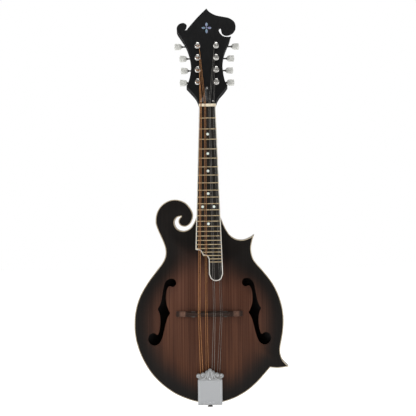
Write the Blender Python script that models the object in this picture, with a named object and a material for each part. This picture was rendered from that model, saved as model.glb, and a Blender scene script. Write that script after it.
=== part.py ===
"""An eight-string mandolin of the F pattern, hung upright.

Run: blender --background --python part.py

The world frame is the hanging instrument's. +Z runs up along it, the strings face -Y, and +X is the treble
side. The origin is on the centreline, at the edge of the nut that the strings leave, on the fretboard's
surface. Lengths below are in millimetres and are turned into metres when a mesh is made.
"""

import math

import bmesh
import bpy
from mathutils import Matrix, Vector
from mathutils.geometry import delaunay_2d_cdt, intersect_point_line

MM = 0.001

# ---------------------------------------------------------------- driving dimensions
scale_length = 352.0  # nut to bridge, 13 7/8 in
neck_pitch = 5.5  # degrees between the fretboard and the body's plane
headstock_pitch = 20.5  # degrees between the headstock's face and the body's plane

gap = 0.1  # between glued or screwed faces
running = 0.3  # round anything that turns or slides
arch_gap = 0.9  # between an arched plate, whose facets are flat, and what follows its arch

body_depth = 43.0  # edge of the soundboard to edge of the back
rim_front = -7.2  # y of the soundboard's edge
plate_thickness = 4.0
top_arch = 14.0
back_arch = 15.0
arch_reach = 95.0  # how far in from the edge the arch keeps rising
rim_wall = 2.2
binding_width = 1.5
lining_width = 4.5
lining_depth = 7.0
tail_block_width, tail_block_depth = 60.0, 18.0
tone_bar_width, tone_bar_height, tone_bar_length = 6.0, 11.0, 170.0
body_top = -188.0  # z where the body meets the neck's heel
grid = 15.0  # spacing of the points that carry an arch
turn_step = math.radians(21.0)  # how far an outline turns from one of its points to the next

nut_width = 28.6
nut_length = 4.7
fretboard_taper = 0.065  # width gained for each unit of length
fretboard_thickness = 5.0
neck_depth_nut, neck_depth_body = 15.0, 17.5  # of the wood behind the fretboard
heel_cap = 12.0  # length of the back's tab that covers the heel's end
heel_cap_width = 27.0
tenon_width, tenon_length = 18.0, 24.0
tenon_shoulder = 3.0  # left between the tenon and the back
rod_radius, rod_depth = 2.2, 12.6  # depth of its axis under the fretboard's surface
rod_end, rod_start = 176.0, -17.0  # along the neck, from the nut
rod_nut_radius, rod_nut_length = 3.2, 8.0

face_offset = 2.5  # the headstock's face passes this far behind the origin
veneer_thickness = 1.8
slot_slant = 0.5  # the scrolls' slots climb this much per mm of wood, so that they open towards the player
headstock_thickness = 15.0
post_radius, waist_radius = 3.0, 2.2
post_spread = 16.0  # post's distance from the centreline
first_post, post_pitch = 46.0, 23.0  # up the headstock's face from the nut
post_height = 9.5
tuner_plate_width, tuner_plate_thickness = 11.0, 1.0
gear_radius, gear_width = 5.0, 3.0
worm_radius, worm_length = 1.75, 7.0
shaft_radius = 1.3
ear_thickness = 1.2
button_length, button_width, button_thickness = 13.6, 11.4, 7.0
button_reach = (40.6, 38.9, 41.0, 49.6)  # nut end to tip: the last pair is longer, to clear the scroll

string_radius = {"g": 0.50, "d": 0.33, "a": 0.19, "e": 0.14}
course_at_nut = {"g": -10.8, "d": -3.9, "a": 3.8, "e": 10.8}
course_at_bridge = {"g": -17.2, "d": -5.2, "a": 8.3, "e": 20.0}
pair_at_nut, pair_at_bridge = 2.2, 2.7
hook_pitch = 4.3
string_at_nut, string_at_bridge = 1.2, 3.5  # under side of the strings, over the fretboard's surface

bridge_base_width, bridge_base_thickness = 112.0, 9.0
saddle_width, saddle_height, saddle_thickness = 77.6, 6.5, 6.5
saddle_crest, saddle_bevel = 0.6, 3.0  # flat left under the strings, and how far the top falls away from it
stud_spread, stud_radius = 27.0, 1.6
stud_depth = 3.5  # of each stud in the base
thumbwheel_radius, thumbwheel_thickness = 5.4, 1.8
lowering = 1.2  # how far the saddle and its wheels can come down

hook_line_z = -478.0  # where the strings are hooked
tail_base_width, tail_base_thickness = 34.0, 1.2
tail_base_reach = 25.0
tail_base_drop = 33.0  # how far it hangs down the tail
tail_base_under = 3.4  # its outer face, below the line of the strings
tail_base_clearance = 1.1  # between its lip and the soundboard's arch
cover_width, cover_thickness, cover_height = 41.0, 1.0, 2.8
cover_slope_end = -25.9
end_pin_radius, end_pin_head, end_pin_length = 3.5, 5.25, 7.0
end_pin_depth = 17.0
end_pin_y = 14.0

# ---------------------------------------------------------------- derived places
rim_back = rim_front + body_depth
inside_front = rim_front + plate_thickness + gap
inside_back = rim_back - plate_thickness - gap
pitch = math.radians(neck_pitch)
tilt = math.radians(headstock_pitch)
bridge_z = -scale_length * math.cos(pitch) + string_at_bridge * math.sin(pitch)
string_rest_y = -scale_length * math.sin(pitch) - string_at_bridge * math.cos(pitch)

# ---------------------------------------------------------------- frames
# Each turns (across, along, out) into world millimetres.
BODY = Matrix(((1, 0, 0, 0), (0, 0, 1, 0), (0, 1, 0, 0), (0, 0, 0, 1)))  # (x, z, y)
NECK = Matrix(
    (
        (1, 0, 0, 0),
        (0, -math.sin(pitch), -math.cos(pitch), 0),
        (0, -math.cos(pitch), math.sin(pitch), 0),
        (0, 0, 0, 1),
    )
)  # across, down the neck, out of the fretboard
HEAD = Matrix(
    (
        (1, 0, 0, 0),
        (0, math.sin(tilt), math.cos(tilt), face_offset),
        (0, math.cos(tilt), -math.sin(tilt), 0),
        (0, 0, 0, 1),
    )
)  # across, up the headstock, back from its face

# ---------------------------------------------------------------- outlines
# Each stretch is smooth and runs from one corner to the next.
BODY_STRETCHES = (
    # neck side of the scroll's slot, and round to the slot's closed end
    ((-20.8, -188), (-24.4, -196.9), (-31.5, -206.4), (-42.5, -210.7), (-53.4, -206.6),
     (-57.8, -196.1), (-53.6, -188), (-45.8, -185.8)),
    # round the scroll, down the bass side and across the tail
    ((-45.8, -185.8), (-49.8, -190.2), (-50.6, -196.3), (-46.4, -201.8), (-38.6, -203.2),
     (-31.4, -198.8), (-27.2, -190.6), (-26.3, -182), (-30.6, -172.3), (-38.4, -163.3),
     (-49.1, -158.3), (-61, -157.7), (-72.3, -161.7), (-81.4, -169.4), (-87.3, -179.8),
     (-89.4, -191.5), (-87.7, -203.4), (-76.1, -231), (-73, -244), (-74, -254.4),
     (-79.2, -265.1), (-90.3, -279.3), (-104.6, -298.6), (-116.6, -319.3), (-124.2, -341.9),
     (-126.9, -365.8), (-125.4, -389.7), (-119.3, -412.8), (-109.4, -434.6), (-96.1, -454.5),
     (-79.2, -471.5), (-59.7, -485.4), (-37.8, -495.2), (-19, -500.4), (0, -502),
     (19, -500.7), (40, -494.4), (61.1, -483), (79.5, -467.8), (95.7, -450.1), (102, -442.8)),
    # under side and upper side of the lower point
    ((102, -442.8), (116.1, -443.9), (133.5, -441.5)),
    ((133.5, -441.5), (124.7, -432.3), (119.9, -421.5), (119.4, -409.5), (123.6, -385.9),
     (125.5, -365), (123.9, -344.2), (117.6, -321.1), (107, -299.6), (92.6, -280.5),
     (80.7, -267), (74.4, -256.9), (71.5, -242), (73.8, -227.5), (77.2, -217.6)),
    # treble cutaway
    ((77.2, -217.6), (70.8, -222.1), (59.6, -226.3), (47.8, -225.4), (37.5, -219.5),
     (30.4, -209.9), (25.1, -199.2), (20.8, -188)),
)
F_HOLE_STRETCHES = (
    ((66.1, -348.7), (69.7, -341), (72.4, -332), (73.2, -322), (71.6, -310.5),
     (67.6, -303.6), (60.5, -304.9), (55.6, -299.8), (57.4, -293), (64, -290.8),
     (71.5, -294), (76.2, -302.3), (79.2, -318), (82, -331.5), (87.3, -342)),
    ((87.3, -342), (83.6, -352), (82.9, -366), (84.8, -379), (87.9, -385.2),
     (94.5, -382.4), (101.6, -385.8), (103.9, -393.5), (100, -401), (92, -403.6),
     (84, -398.5), (78.6, -386), (74.6, -370), (71.2, -358), (66.1, -348.7)),
)
HEADSTOCK_STRETCHES = (
    # bass side, from the neck up to the slot under the curl
    ((-14.5, 5.6), (-16.6, 12.6), (-20.2, 20), (-27.6, 29.4), (-35.4, 38.6)),
    ((-35.4, 38.6), (-32.4, 45), (-29.2, 56.7), (-27.3, 73.6), (-28.3, 90),
     (-31.5, 104.8), (-36.7, 119.1), (-44.6, 132.9), (-50.6, 143.3), (-51.5, 151.1),
     (-47.3, 157.6), (-39.9, 159.6), (-34.6, 155.6), (-35.6, 148.4), (-39.6, 145.6)),
    ((-39.6, 145.6), (-34.8, 145.8)),
    ((-34.8, 145.8), (-17.7, 167.9), (0, 187.5)),
    # treble side, from the tip round the large scroll and its slot
    ((0, 187.5), (6, 180.2), (16.3, 174.1), (27.9, 171.2), (39.4, 168.2), (48.4, 160.6),
     (50.3, 149.1), (45.1, 138.6), (34.6, 134.3), (27, 138.2), (24.6, 148.6)),
    ((24.6, 148.6), (21.3, 146), (22.8, 139.9), (29, 133.4), (36.2, 132), (42.6, 132.6)),
    ((42.6, 132.6), (38.2, 123.3), (32.8, 110.5), (28.8, 97), (26.8, 80.1), (27.9, 62.6),
     (30.9, 47.1), (35, 39.6)),
    ((35, 39.6), (28.6, 30.1), (21.1, 20.8), (17.1, 13.8), (14.5, 5.6)),
)


def smooth(points, step=12.0):
    """Points on a curve through these (Catmull-Rom), closer together where it turns quickly."""
    if len(points) == 2:
        return list(points)
    held = [points[0], *points, points[-1]]
    out = []
    for a, b, c, d in zip(held, held[1:], held[2:], held[3:]):
        start, end = Vector((c[0] - a[0], c[1] - a[1])), Vector((d[0] - b[0], d[1] - b[1]))
        pieces = max(1, round(math.dist(b, c) / step), math.ceil(start.angle(end) / turn_step - 0.2))
        for k in range(pieces):
            t = k / pieces
            out.append(
                tuple(
                    0.5 * (2 * q + (r - p) * t + (2 * p - 5 * q + 4 * r - s) * t**2 + (3 * q - p - 3 * r + s) * t**3)
                    for p, q, r, s in zip(a, b, c, d)
                )
            )
    return [*out, points[-1]]


def joined(stretches, step=12.0):
    """One run of points through all the stretches, each corner once."""
    out = []
    for stretch in stretches:
        out += smooth(stretch, step)[(1 if out else 0):]
    return out


def mirrored(points):
    return [(-x, z) for x, z in reversed(points)]


def area(points):
    return 0.5 * sum(a[0] * b[1] - b[0] * a[1] for a, b in zip(points, points[1:] + points[:1]))


def distance(point, line):
    """Distance from a point to a run of points."""
    p = Vector((*point, 0))
    best = math.inf
    for a, b in zip(line, line[1:]):
        near, share = intersect_point_line(p, Vector((*a, 0)), Vector((*b, 0)))
        if share <= 0 or share >= 1:
            near = Vector((*(a if share <= 0 else b), 0))
        best = min(best, (near - p).length)
    return best


def inset(line, by, side=1):
    """The open run moved sideways by this much, without the points that a narrow place would fold over."""
    out = []
    for i, b in enumerate(line):
        a, c = line[max(i - 1, 0)], line[min(i + 1, len(line) - 1)]
        before = Vector((b[0] - a[0], b[1] - a[1])) if i else Vector((c[0] - b[0], c[1] - b[1]))
        after = Vector((c[0] - b[0], c[1] - b[1])) if i < len(line) - 1 else before
        before, after = before.normalized(), after.normalized()
        left, right = (side * Vector((-way.y, way.x)) for way in (before, after))
        turn = side * (before.x * after.y - before.y * after.x)
        if turn < 0 and before.dot(after) < 0.5:  # round the outside of a sharp turn
            moves = (left, (left + right).normalized(), right)
        else:
            moves = ((left + right) / (1 + before.dot(after)),)
        out += [(b[0] + by * move.x, b[1] + by * move.y) for move in moves]
    return [p for p in out if distance(p, line) > 0.93 * by]


def inside(point, polygon):
    x, y = point
    hit = False
    for (ax, ay), (bx, by) in zip(polygon, polygon[1:] + polygon[:1]):
        if (ay > y) != (by > y) and x < (bx - ax) * (y - ay) / (by - ay) + ax:
            hit = not hit
    return hit


def divided(outline, step=8.0):
    """The closed outline with a point for about each step of its length."""
    out = []
    for a, b in zip(outline, outline[1:] + outline[:1]):
        pieces = max(1, round(math.dist(a, b) / step))
        out += [(a[0] + (b[0] - a[0]) * k / pieces, a[1] + (b[1] - a[1]) * k / pieces) for k in range(pieces)]
    return out


def circle(x, y, radius, sides=12):
    return [
        (x + radius * math.cos(math.tau * k / sides), y + radius * math.sin(math.tau * k / sides))
        for k in range(sides)
    ]


def rectangle(x0, x1, y0, y1):
    return [(x0, y0), (x1, y0), (x1, y1), (x0, y1)]


# ---------------------------------------------------------------- making solids
def material(name, colour, roughness, metallic=0.0):
    made = bpy.data.materials.new(name)
    made.use_nodes = True
    shader = made.node_tree.nodes["Principled BSDF"]
    shader.inputs["Base Color"].default_value = (*colour, 1)
    shader.inputs["Roughness"].default_value = roughness
    shader.inputs["Metallic"].default_value = metallic
    made.diffuse_color = (*colour, 1)
    return made


LOOKS = {
    "sunburst": ((0.085, 0.032, 0.016), 0.4, 0.0),
    "maple": ((0.07, 0.026, 0.014), 0.4, 0.0),
    "spruce": ((0.62, 0.45, 0.26), 0.6, 0.0),
    "mahogany": ((0.30, 0.14, 0.07), 0.6, 0.0),
    "ebony": ((0.012, 0.011, 0.011), 0.4, 0.0),
    "rosewood": ((0.06, 0.03, 0.018), 0.5, 0.0),
    "cream": ((0.80, 0.74, 0.60), 0.35, 0.0),
    "bone": ((0.85, 0.80, 0.68), 0.4, 0.0),
    "pearl": ((0.86, 0.86, 0.82), 0.2, 0.0),
    "black plastic": ((0.01, 0.01, 0.01), 0.3, 0.0),
    "nickel": ((0.70, 0.70, 0.68), 0.25, 1.0),
    "steel": ((0.50, 0.50, 0.50), 0.35, 1.0),
    "bronze": ((0.60, 0.36, 0.16), 0.35, 1.0),
}


def finish(name, look, mesh):
    """A bmesh in world millimetres becomes a named object in metres."""
    bmesh.ops.remove_doubles(mesh, verts=mesh.verts, dist=1e-4)
    bmesh.ops.recalc_face_normals(mesh, faces=mesh.faces)
    bmesh.ops.scale(mesh, vec=(MM, MM, MM), verts=mesh.verts)
    data = bpy.data.meshes.new(name)
    mesh.to_mesh(data)
    mesh.free()
    obj = bpy.data.objects.new(name, data)
    bpy.context.scene.collection.objects.link(obj)
    data.materials.append(material(name, *LOOKS[look]))
    return obj


def plate(frame, outline, holes, low, high, extra=()):
    """A bmesh of a sheet between low(x, y) and high(x, y), or between two numbers, with holes through it."""
    low_at = low if callable(low) else lambda x, y: low
    high_at = high if callable(high) else lambda x, y: high
    points, edges = [], []
    for loop in (outline, *holes):
        first = len(points)
        points += [Vector(p) for p in loop]
        edges += [(first + k, first + (k + 1) % len(loop)) for k in range(len(loop))]
    points += [Vector(p) for p in extra]
    flat, _, triangles, *_ = delaunay_2d_cdt(points, edges, [], 0, 1e-5)
    kept = []
    for triangle in triangles:
        middle = sum((flat[i] for i in triangle), Vector((0, 0))) / 3
        if inside(middle, outline) and not any(inside(middle, hole) for hole in holes):
            kept.append(triangle)
    mesh = bmesh.new()
    lower = [mesh.verts.new(frame @ Vector((p.x, p.y, low_at(p.x, p.y)))) for p in flat]
    upper = [mesh.verts.new(frame @ Vector((p.x, p.y, high_at(p.x, p.y)))) for p in flat]
    used = {}
    for a, b, c in kept:
        mesh.faces.new((upper[a], upper[b], upper[c]))
        mesh.faces.new((lower[c], lower[b], lower[a]))
        for edge in ((a, b), (b, c), (c, a)):
            used[frozenset(edge)] = None if frozenset(edge) in used else edge
    for edge in filter(None, used.values()):
        a, b = edge
        mesh.faces.new((lower[a], lower[b], upper[b], upper[a]))
    bmesh.ops.delete(mesh, geom=[v for v in mesh.verts if not v.link_faces], context="VERTS")
    return mesh


def loft(rings):
    """A bmesh through closed rings of the same number of world points, with flat ends."""
    mesh = bmesh.new()
    rows = [[mesh.verts.new(p) for p in ring] for ring in rings]
    for a, b in zip(rows, rows[1:]):
        for k in range(len(a)):
            j = (k + 1) % len(a)
            mesh.faces.new((a[k], a[j], b[j], b[k]))
    mesh.faces.new(rows[0][::-1])
    mesh.faces.new(rows[-1])
    return mesh


def turned(frame, axis, centre, profile, sides=12, flat=1.0):
    """A lathe-turned bmesh. The profile is (distance along the axis, radius); flat squashes the second radius."""
    order = {"across": (0, 1, 2), "along": (1, 0, 2), "out": (2, 0, 1)}[axis]
    rings = []
    for step, radius in profile:
        squash = flat if callable(flat) is False else flat(step)
        ring = []
        for k in range(sides):
            angle = math.tau * (k + 0.5) / sides
            local = [0.0, 0.0, 0.0]
            local[order[0]] = step
            local[order[1]] = radius * math.cos(angle)
            local[order[2]] = radius * math.sin(angle) * squash
            ring.append(frame @ (Vector(centre) + Vector(local)))
        rings.append(ring)
    return loft(rings)


def box(frame, across, along, out):
    return plate(frame, rectangle(*across, *along), (), *out)


def combined(target, operation, *meshes):
    """Joins each bmesh to the object, or cuts it away, with an exact Boolean that is applied at once."""
    for mesh in meshes:
        tool = finish("tool", "steel", mesh)
        step = target.modifiers.new(operation, "BOOLEAN")
        step.operation, step.solver, step.object = operation, "EXACT", tool
        with bpy.context.temp_override(object=target, active_object=target):
            bpy.ops.object.modifier_apply(modifier=step.name)
        bpy.data.objects.remove(tool)
    return target


for leftover in list(bpy.data.objects):
    bpy.data.objects.remove(leftover)

# ---------------------------------------------------------------- body
edge = joined(BODY_STRETCHES)  # from the neck's bass side right round to its treble side
edge[0], edge[-1] = (edge[0][0], body_top), (edge[-1][0], body_top)
whole = area(edge)
toward_inside = 1 if whole > 0 else -1
f_hole_treble = joined(F_HOLE_STRETCHES, 9.0)[:-1]
f_hole_bass = mirrored(f_hole_treble)


def rise(x, z):
    """0 at the body's edge, 1 where the arch is full: level at the edge, then rising, then level again."""
    reach = 0.0 if z > body_top and abs(x) < 20 else min(1.0, distance((x, z), edge) / arch_reach)
    return reach * reach * (3 - 2 * reach)


def run_inset(by):
    return inset(edge, by, toward_inside)


def closed_inset(by):
    """The run moved in, its two ends brought back to the neck's plane, so that it closes straight across."""
    run = run_inset(by)
    run = [p for p in run if p[1] < body_top - 2 or p[0] < edge[0][0] - 3]
    return [(edge[0][0] + by, body_top - gap), *run, (edge[-1][0] - by, body_top - gap)]


def grid_points(polygon, holes, margin):
    xs = [p[0] for p in polygon]
    zs = [p[1] for p in polygon]
    out = []
    for row in range(int((max(zs) - min(zs)) / grid) + 1):
        z = min(zs) + (row + 0.5) * grid
        for column in range(int((max(xs) - min(xs)) / grid) + 2):
            x = min(xs) + (column + (0.5 if row % 2 else 0.0)) * grid
            if not inside((x, z), polygon) or any(inside((x, z), hole) for hole in holes):
                continue
            loops = [polygon + polygon[:1], *(hole + hole[:1] for hole in holes)]
            if min(distance((x, z), loop) for loop in loops) > margin:
                out.append((x, z))
    return out


def top_surface(x, z):
    return rim_front - top_arch * rise(x, z)


def back_surface(x, z):
    return rim_back + back_arch * rise(x, z)


plate_outline = closed_inset(binding_width + gap)
tab = [
    (heel_cap_width / 2 * math.cos(math.pi * k / 8), body_top + heel_cap * math.sin(math.pi * k / 8)) for k in range(9)
]
back_outline = [*plate_outline, *tab]
f_holes = (f_hole_bass, f_hole_treble)
finish(
    "soundboard",
    "sunburst",
    plate(
        BODY,
        plate_outline,
        f_holes,
        top_surface,
        lambda x, z: top_surface(x, z) + plate_thickness,
        grid_points(plate_outline, f_holes, 6.0),
    ),
)
finish(
    "back_plate",
    "maple",
    plate(
        BODY,
        back_outline,
        (),
        lambda x, z: back_surface(x, z) - plate_thickness,
        back_surface,
        grid_points(plate_outline, (), 6.0),
    ),
)


def strip(outer, inner, ends_z=body_top - gap):
    """The band between two runs, both ends cut off at the neck's plane."""
    left = [(outer[0][0], ends_z), *[p for p in outer[1:-1]], (outer[-1][0], ends_z)]
    back = [(inner[0][0], ends_z), *[p for p in inner[1:-1]], (inner[-1][0], ends_z)]
    return left + back[::-1]


outer_run = list(edge)
binding_inner = closed_inset(binding_width)
binding_band = strip(outer_run, binding_inner)
finish("top_binding", "cream", plate(BODY, binding_band, (), rim_front, rim_front + plate_thickness))
finish("back_binding", "cream", plate(BODY, binding_band, (), rim_back - plate_thickness, rim_back))

end_pin_bore = end_pin_radius + gap
rim_inner = closed_inset(rim_wall)
rim = finish("rim", "maple", plate(BODY, strip(outer_run, rim_inner), (), inside_front, inside_back))
pin_frame = BODY @ Matrix.Translation((0, 0, end_pin_y))
combined(rim, "DIFFERENCE", turned(pin_frame, "along", (0, -500, 0), ((-20, end_pin_bore), (20, end_pin_bore))))


def below(run, bass_z, treble_z):
    """The part of a run that lies below these heights on each side."""
    return [p for p in run if p[1] < (bass_z if p[0] < 0 else treble_z)]


seat = rim_wall + gap
lining_outer = below(run_inset(seat), -250, -258)
lining_inner = below(run_inset(seat + lining_width), -250, -258)
lining_band = lining_outer + lining_inner[::-1]
finish("top_lining", "mahogany", plate(BODY, lining_band, (), inside_front, inside_front + lining_depth))
finish("back_lining", "mahogany", plate(BODY, lining_band, (), inside_back - lining_depth, inside_back))

block_front = inside_front + lining_depth + gap
block_back = inside_back - lining_depth - gap
seat_run = closed_inset(seat)
head_bass = [p for p in seat_run if p[0] < 0 and p[1] > -212 - 2 * seat]
head_treble = [p for p in seat_run if p[0] > 0 and p[0] < 40 and p[1] > -212]
mortise = tenon_width / 2 + gap
neck_block_outline = [
    *head_bass,
    (-64, -226),
    (6, -226),
    *head_treble,
    (mortise, body_top - gap),
    (mortise, body_top - tenon_length - gap),
    (-mortise, body_top - tenon_length - gap),
    (-mortise, body_top - gap),
]
finish("neck_block", "mahogany", plate(BODY, neck_block_outline, (), inside_front, inside_back))

tail_seat = [p for p in run_inset(seat) if abs(p[0]) < tail_block_width / 2 and p[1] < -400]
tail_top = max(p[1] for p in tail_seat) + tail_block_depth
tail_block = finish(
    "tail_block",
    "mahogany",
    plate(BODY, [*tail_seat, (tail_seat[-1][0], tail_top), (tail_seat[0][0], tail_top)], (), block_front, block_back),
)
combined(
    tail_block, "DIFFERENCE", turned(pin_frame, "along", (0, -500, 0), ((-30, end_pin_bore), (end_pin_depth, end_pin_bore)))
)


def corner_block(name, tip, reach):
    near = [p for p in run_inset(seat) if math.dist(p, tip) < reach]
    finish(name, "mahogany", plate(BODY, near, (), block_front, block_back))


corner_block("lower_point_block", BODY_STRETCHES[2][-1], 34.0)
corner_block("upper_point_block", BODY_STRETCHES[3][-1], 26.0)

for name, x, lean in (("tone_bar_bass", -24.0, -10.0), ("tone_bar_treble", 20.0, 14.0)):
    half = tone_bar_width / 2
    top_z, low_z = -302.0, -302.0 - tone_bar_length
    outline = [(x - half, top_z), (x + half, top_z), (x + half + lean, low_z), (x - half + lean, low_z)]

    def bar_low(px, pz, top_z=top_z):
        along = (top_z - pz) / tone_bar_length
        taper = math.sin(math.pi * min(max(along, 0.04), 0.96))
        return top_surface(px, pz) + plate_thickness + arch_gap + 3.0 + (tone_bar_height - 3.0) * taper

    finish(
        name,
        "spruce",
        plate(BODY, divided(outline, 12), (), lambda px, pz: top_surface(px, pz) + plate_thickness + arch_gap, bar_low),
    )

# ---------------------------------------------------------------- neck
seat_depth = fretboard_thickness + gap  # of the neck's top face under the fretboard's surface


def neck_face(z):
    """y of the neck's wood where the fretboard is glued."""
    return z * math.tan(pitch) + seat_depth / math.cos(pitch)


def half_width(z):
    return nut_width / 2 + 0.5 * fretboard_taper * max(0.0, -z)


def neck_section(z, top, depth, half, fullness):
    """A ring across the neck: flat in front, rounded behind."""
    ring = [Vector((-half, top, z)), Vector((0, top, z)), Vector((half, top, z))]
    for k in range(1, 12):
        angle = math.pi * k / 12
        c, s = math.cos(angle), math.sin(angle)
        ring.append(
            Vector(
                (
                    half * math.copysign(abs(c) ** fullness, c),
                    top + depth * abs(s) ** fullness,
                    z,
                )
            )
        )
    return ring


def to_back(z):
    """Depth of wood from the fretboard's seat to the heel's end on the back."""
    return inside_back - neck_face(z)


neck_rings = [neck_section(16.0, 12.2, 9.0, 11.0, 0.8), neck_section(4.6, 7.3, neck_depth_nut - 0.8, nut_width / 2, 0.8)]
for z, depth, half, fullness in (
    (4.3, neck_depth_nut + 1.0, None, 0.80),
    (-20.0, neck_depth_nut, None, 0.80),
    (-80.0, 0.5 * (neck_depth_nut + neck_depth_body), None, 0.80),
    (-140.0, neck_depth_body, None, 0.80),
    (body_top + 30.0, neck_depth_body + 2.5, None, 0.80),
    (body_top + 22.0, neck_depth_body + 8.0, None, 0.80),
    (body_top + 16.0, neck_depth_body + 16.5, None, 0.78),
    (body_top + heel_cap + 0.4, to_back(body_top + heel_cap) - 2.0, None, 0.76),
    (body_top + heel_cap - 2.0, to_back(body_top + heel_cap - 2.0), None, 0.74),
    (body_top + gap, to_back(body_top + gap), None, 0.70),
):
    neck_rings.append(neck_section(z, neck_face(z), depth, half_width(z) - 0.2, fullness))
neck = finish("neck", "maple", loft(neck_rings))
head_outline = joined(HEADSTOCK_STRETCHES, 14.0)
wood_front = veneer_thickness + gap


def slant(x, along):
    """1 round the two scrolls' slots and 0 elsewhere: how much of slot_slant the wood's back edge takes."""
    if x > 44:
        return min(1.0, max(0.0, (160 - along) / 20))
    if x > 0:
        return min(1.0, max(0.0, (along - 124) / 8)) if along < 152 else 0.0
    if along < 144 or x < -46:
        return 0.0
    if x > -33.9:
        return min(1.0, max(0.0, (-22 - x) / 12))
    return 1.0 if along < 150 and x > -43 else min(1.0, max(0.0, (x + 46) / 10))


combined(
    neck,
    "UNION",
    loft(
        [
            [HEAD @ Vector((x, along, wood_front)) for x, along in head_outline],
            [
                HEAD @ Vector((x, along + slot_slant * headstock_thickness * slant(x, along), headstock_thickness))
                for x, along in head_outline
            ],
        ]
    ),
    box(
        BODY,
        (-tenon_width / 2, tenon_width / 2),
        (body_top - tenon_length + gap, body_top + 6),
        (inside_front + gap, inside_back - tenon_shoulder),
    ),
)
rod_slot = rod_radius + running
combined(
    neck,
    "DIFFERENCE",
    box(NECK, (-rod_slot, rod_slot), (-8.0, rod_end + running), (-rod_depth - rod_slot, 0.0)),
    box(
        NECK,
        (-rod_nut_radius - 1.0, rod_nut_radius + 1.0),
        (rod_start - rod_nut_length, -nut_length - 2.4),
        (-rod_depth - rod_nut_radius - running, 0.0),
    ),
)


def post_place(rank):
    """How far up the face a side's posts stand, from the nut."""
    return first_post + post_pitch * rank


post_hole = post_radius + running
for side in (-1, 1):
    for rank in range(4):
        combined(
            neck,
            "DIFFERENCE",
            turned(HEAD, "out", (side * post_spread, post_place(rank), 0), ((-5, post_hole), (30, post_hole)), 10),
        )

post_holes = [circle(side * post_spread, post_place(rank), post_hole, 10) for side in (-1, 1) for rank in range(4)]
veneer = finish("headstock_veneer", "ebony", plate(HEAD, head_outline, post_holes, 0.0, veneer_thickness))
combined(
    veneer,
    "DIFFERENCE",
    box(
        NECK,
        (-rod_nut_radius - 1.0, rod_nut_radius + 1.0),
        (rod_start - rod_nut_length, -nut_length - 2.4),
        (-rod_depth - rod_nut_radius - running, 0.0),
    ),
)

finish(
    "truss_rod",
    "steel",
    turned(NECK, "along", (0, 0, -rod_depth), ((rod_start + 0.6, rod_radius), (rod_end, rod_radius)), 8),
)
nut_front = rod_start + 0.4
finish(
    "truss_rod_nut",
    "nickel",
    turned(NECK, "along", (0, 0, -rod_depth), ((nut_front - rod_nut_length + 2, rod_nut_radius), (nut_front, rod_nut_radius)), 6),
)

cover_low, cover_high = 7.0, 38.0
bell = smooth(((-13.0, cover_low), (-12.4, cover_low + 5), (-7.4, cover_low + 11), (-4.8, cover_low + 18), (-3.6, cover_low + 25), (0, cover_high)), 4.0)
finish(
    "truss_rod_cover",
    "black plastic",
    plate(HEAD, bell + mirrored(bell)[1:], (), -gap - 1.6, -gap),
)

# ---------------------------------------------------------------- fretboard and nut
def board_half(s):
    return nut_width / 2 + 0.5 * fretboard_taper * s


last_fret = 0.75 * scale_length  # the 24th: the board's steps and its end follow it
step_start, board_stop = last_fret - 21.2, last_fret + 20.0
board_bass = [
    (-board_half(0.0), gap),
    (-board_half(step_start), step_start),
    (-14.6, last_fret - 19.6),
    (-11.6, last_fret - 16.0),
    (-9.8, last_fret - 11.6),
    (-2.8, last_fret - 10.4),
    (0.0, last_fret - 5.0),
]
board_end = smooth(
    (
        (0.0, board_stop),
        (2.8, board_stop + 7.6),
        (8.4, board_stop + 11.4),
        (15.0, board_stop + 11.6),
        (20.6, board_stop + 8.2),
        (board_half(board_stop), board_stop),
    ),
    8.0,
)
board_edge = [*board_bass, *board_end, (board_half(0.0), gap)]
board_side = 1 if area(board_edge) > 0 else -1
board_inner = inset(board_edge, binding_width, board_side)
board_inner[0], board_inner[-1] = (board_edge[0][0] + binding_width, gap), (board_edge[-1][0] - binding_width, gap)
finish("fretboard_binding", "cream", plate(NECK, board_edge + board_inner[::-1], (), -fretboard_thickness, 0.0))
board_core = inset(board_edge, binding_width + gap, board_side)
board_core[0] = (board_inner[0][0] + gap, gap)
board_core[-1] = (board_inner[-1][0] - gap, gap)
finish("fretboard", "ebony", plate(NECK, board_core, (), -fretboard_thickness, 0.0))


def neck_face_at(x, z):
    return neck_face(z)


riser_outline = [
    (-half_width(body_top) + 2, body_top - gap),
    (-19.5, -last_fret + 26.0),
    (-9.0, -last_fret + 21.0),
    (2.0, -last_fret + 10.0),
    (3.5, -last_fret - 22.0),
    (19.5, -last_fret - 22.0),
    (half_width(body_top) - 1, body_top - gap),
]
riser_spots = [(x, body_top - 9.0 * k) for k in range(1, 11) for x in (-10.0, 0.0, 11.0) if k < 5 or x > 10]
finish(
    "fretboard_riser",
    "maple",
    plate(BODY, divided(riser_outline), (), neck_face_at, lambda x, z: top_surface(x, z) - arch_gap, riser_spots),
)

names = [f"{course}_{which}" for course in "gdae" for which in (("outer", "inner") if course in "gd" else ("inner", "outer"))]


def string_place(name, centres, pair):
    course, which = name.split("_")
    outward = -1 if centres[course] < 0 else 1
    return centres[course] + outward * (pair / 2 if which == "outer" else -pair / 2)


nut_top = string_at_nut + 0.8
comb = [(nut_width / 2, -seat_depth + gap), (nut_width / 2, nut_top)]
for name in reversed(names):
    x = string_place(name, course_at_nut, pair_at_nut)
    r = string_radius[name[0]] + 0.12
    comb += [(x + r, nut_top), (x + r, string_at_nut - 0.06), (x - r, string_at_nut - 0.06), (x - r, nut_top)]
comb += [(-nut_width / 2, nut_top), (-nut_width / 2, -seat_depth + gap)]
NUT = NECK @ Matrix(((1, 0, 0, 0), (0, 0, 1, 0), (0, 1, 0, 0), (0, 0, 0, 1)))  # across, out, down the neck
finish("nut", "bone", plate(NUT, comb, (), -nut_length, 0.0))

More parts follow.
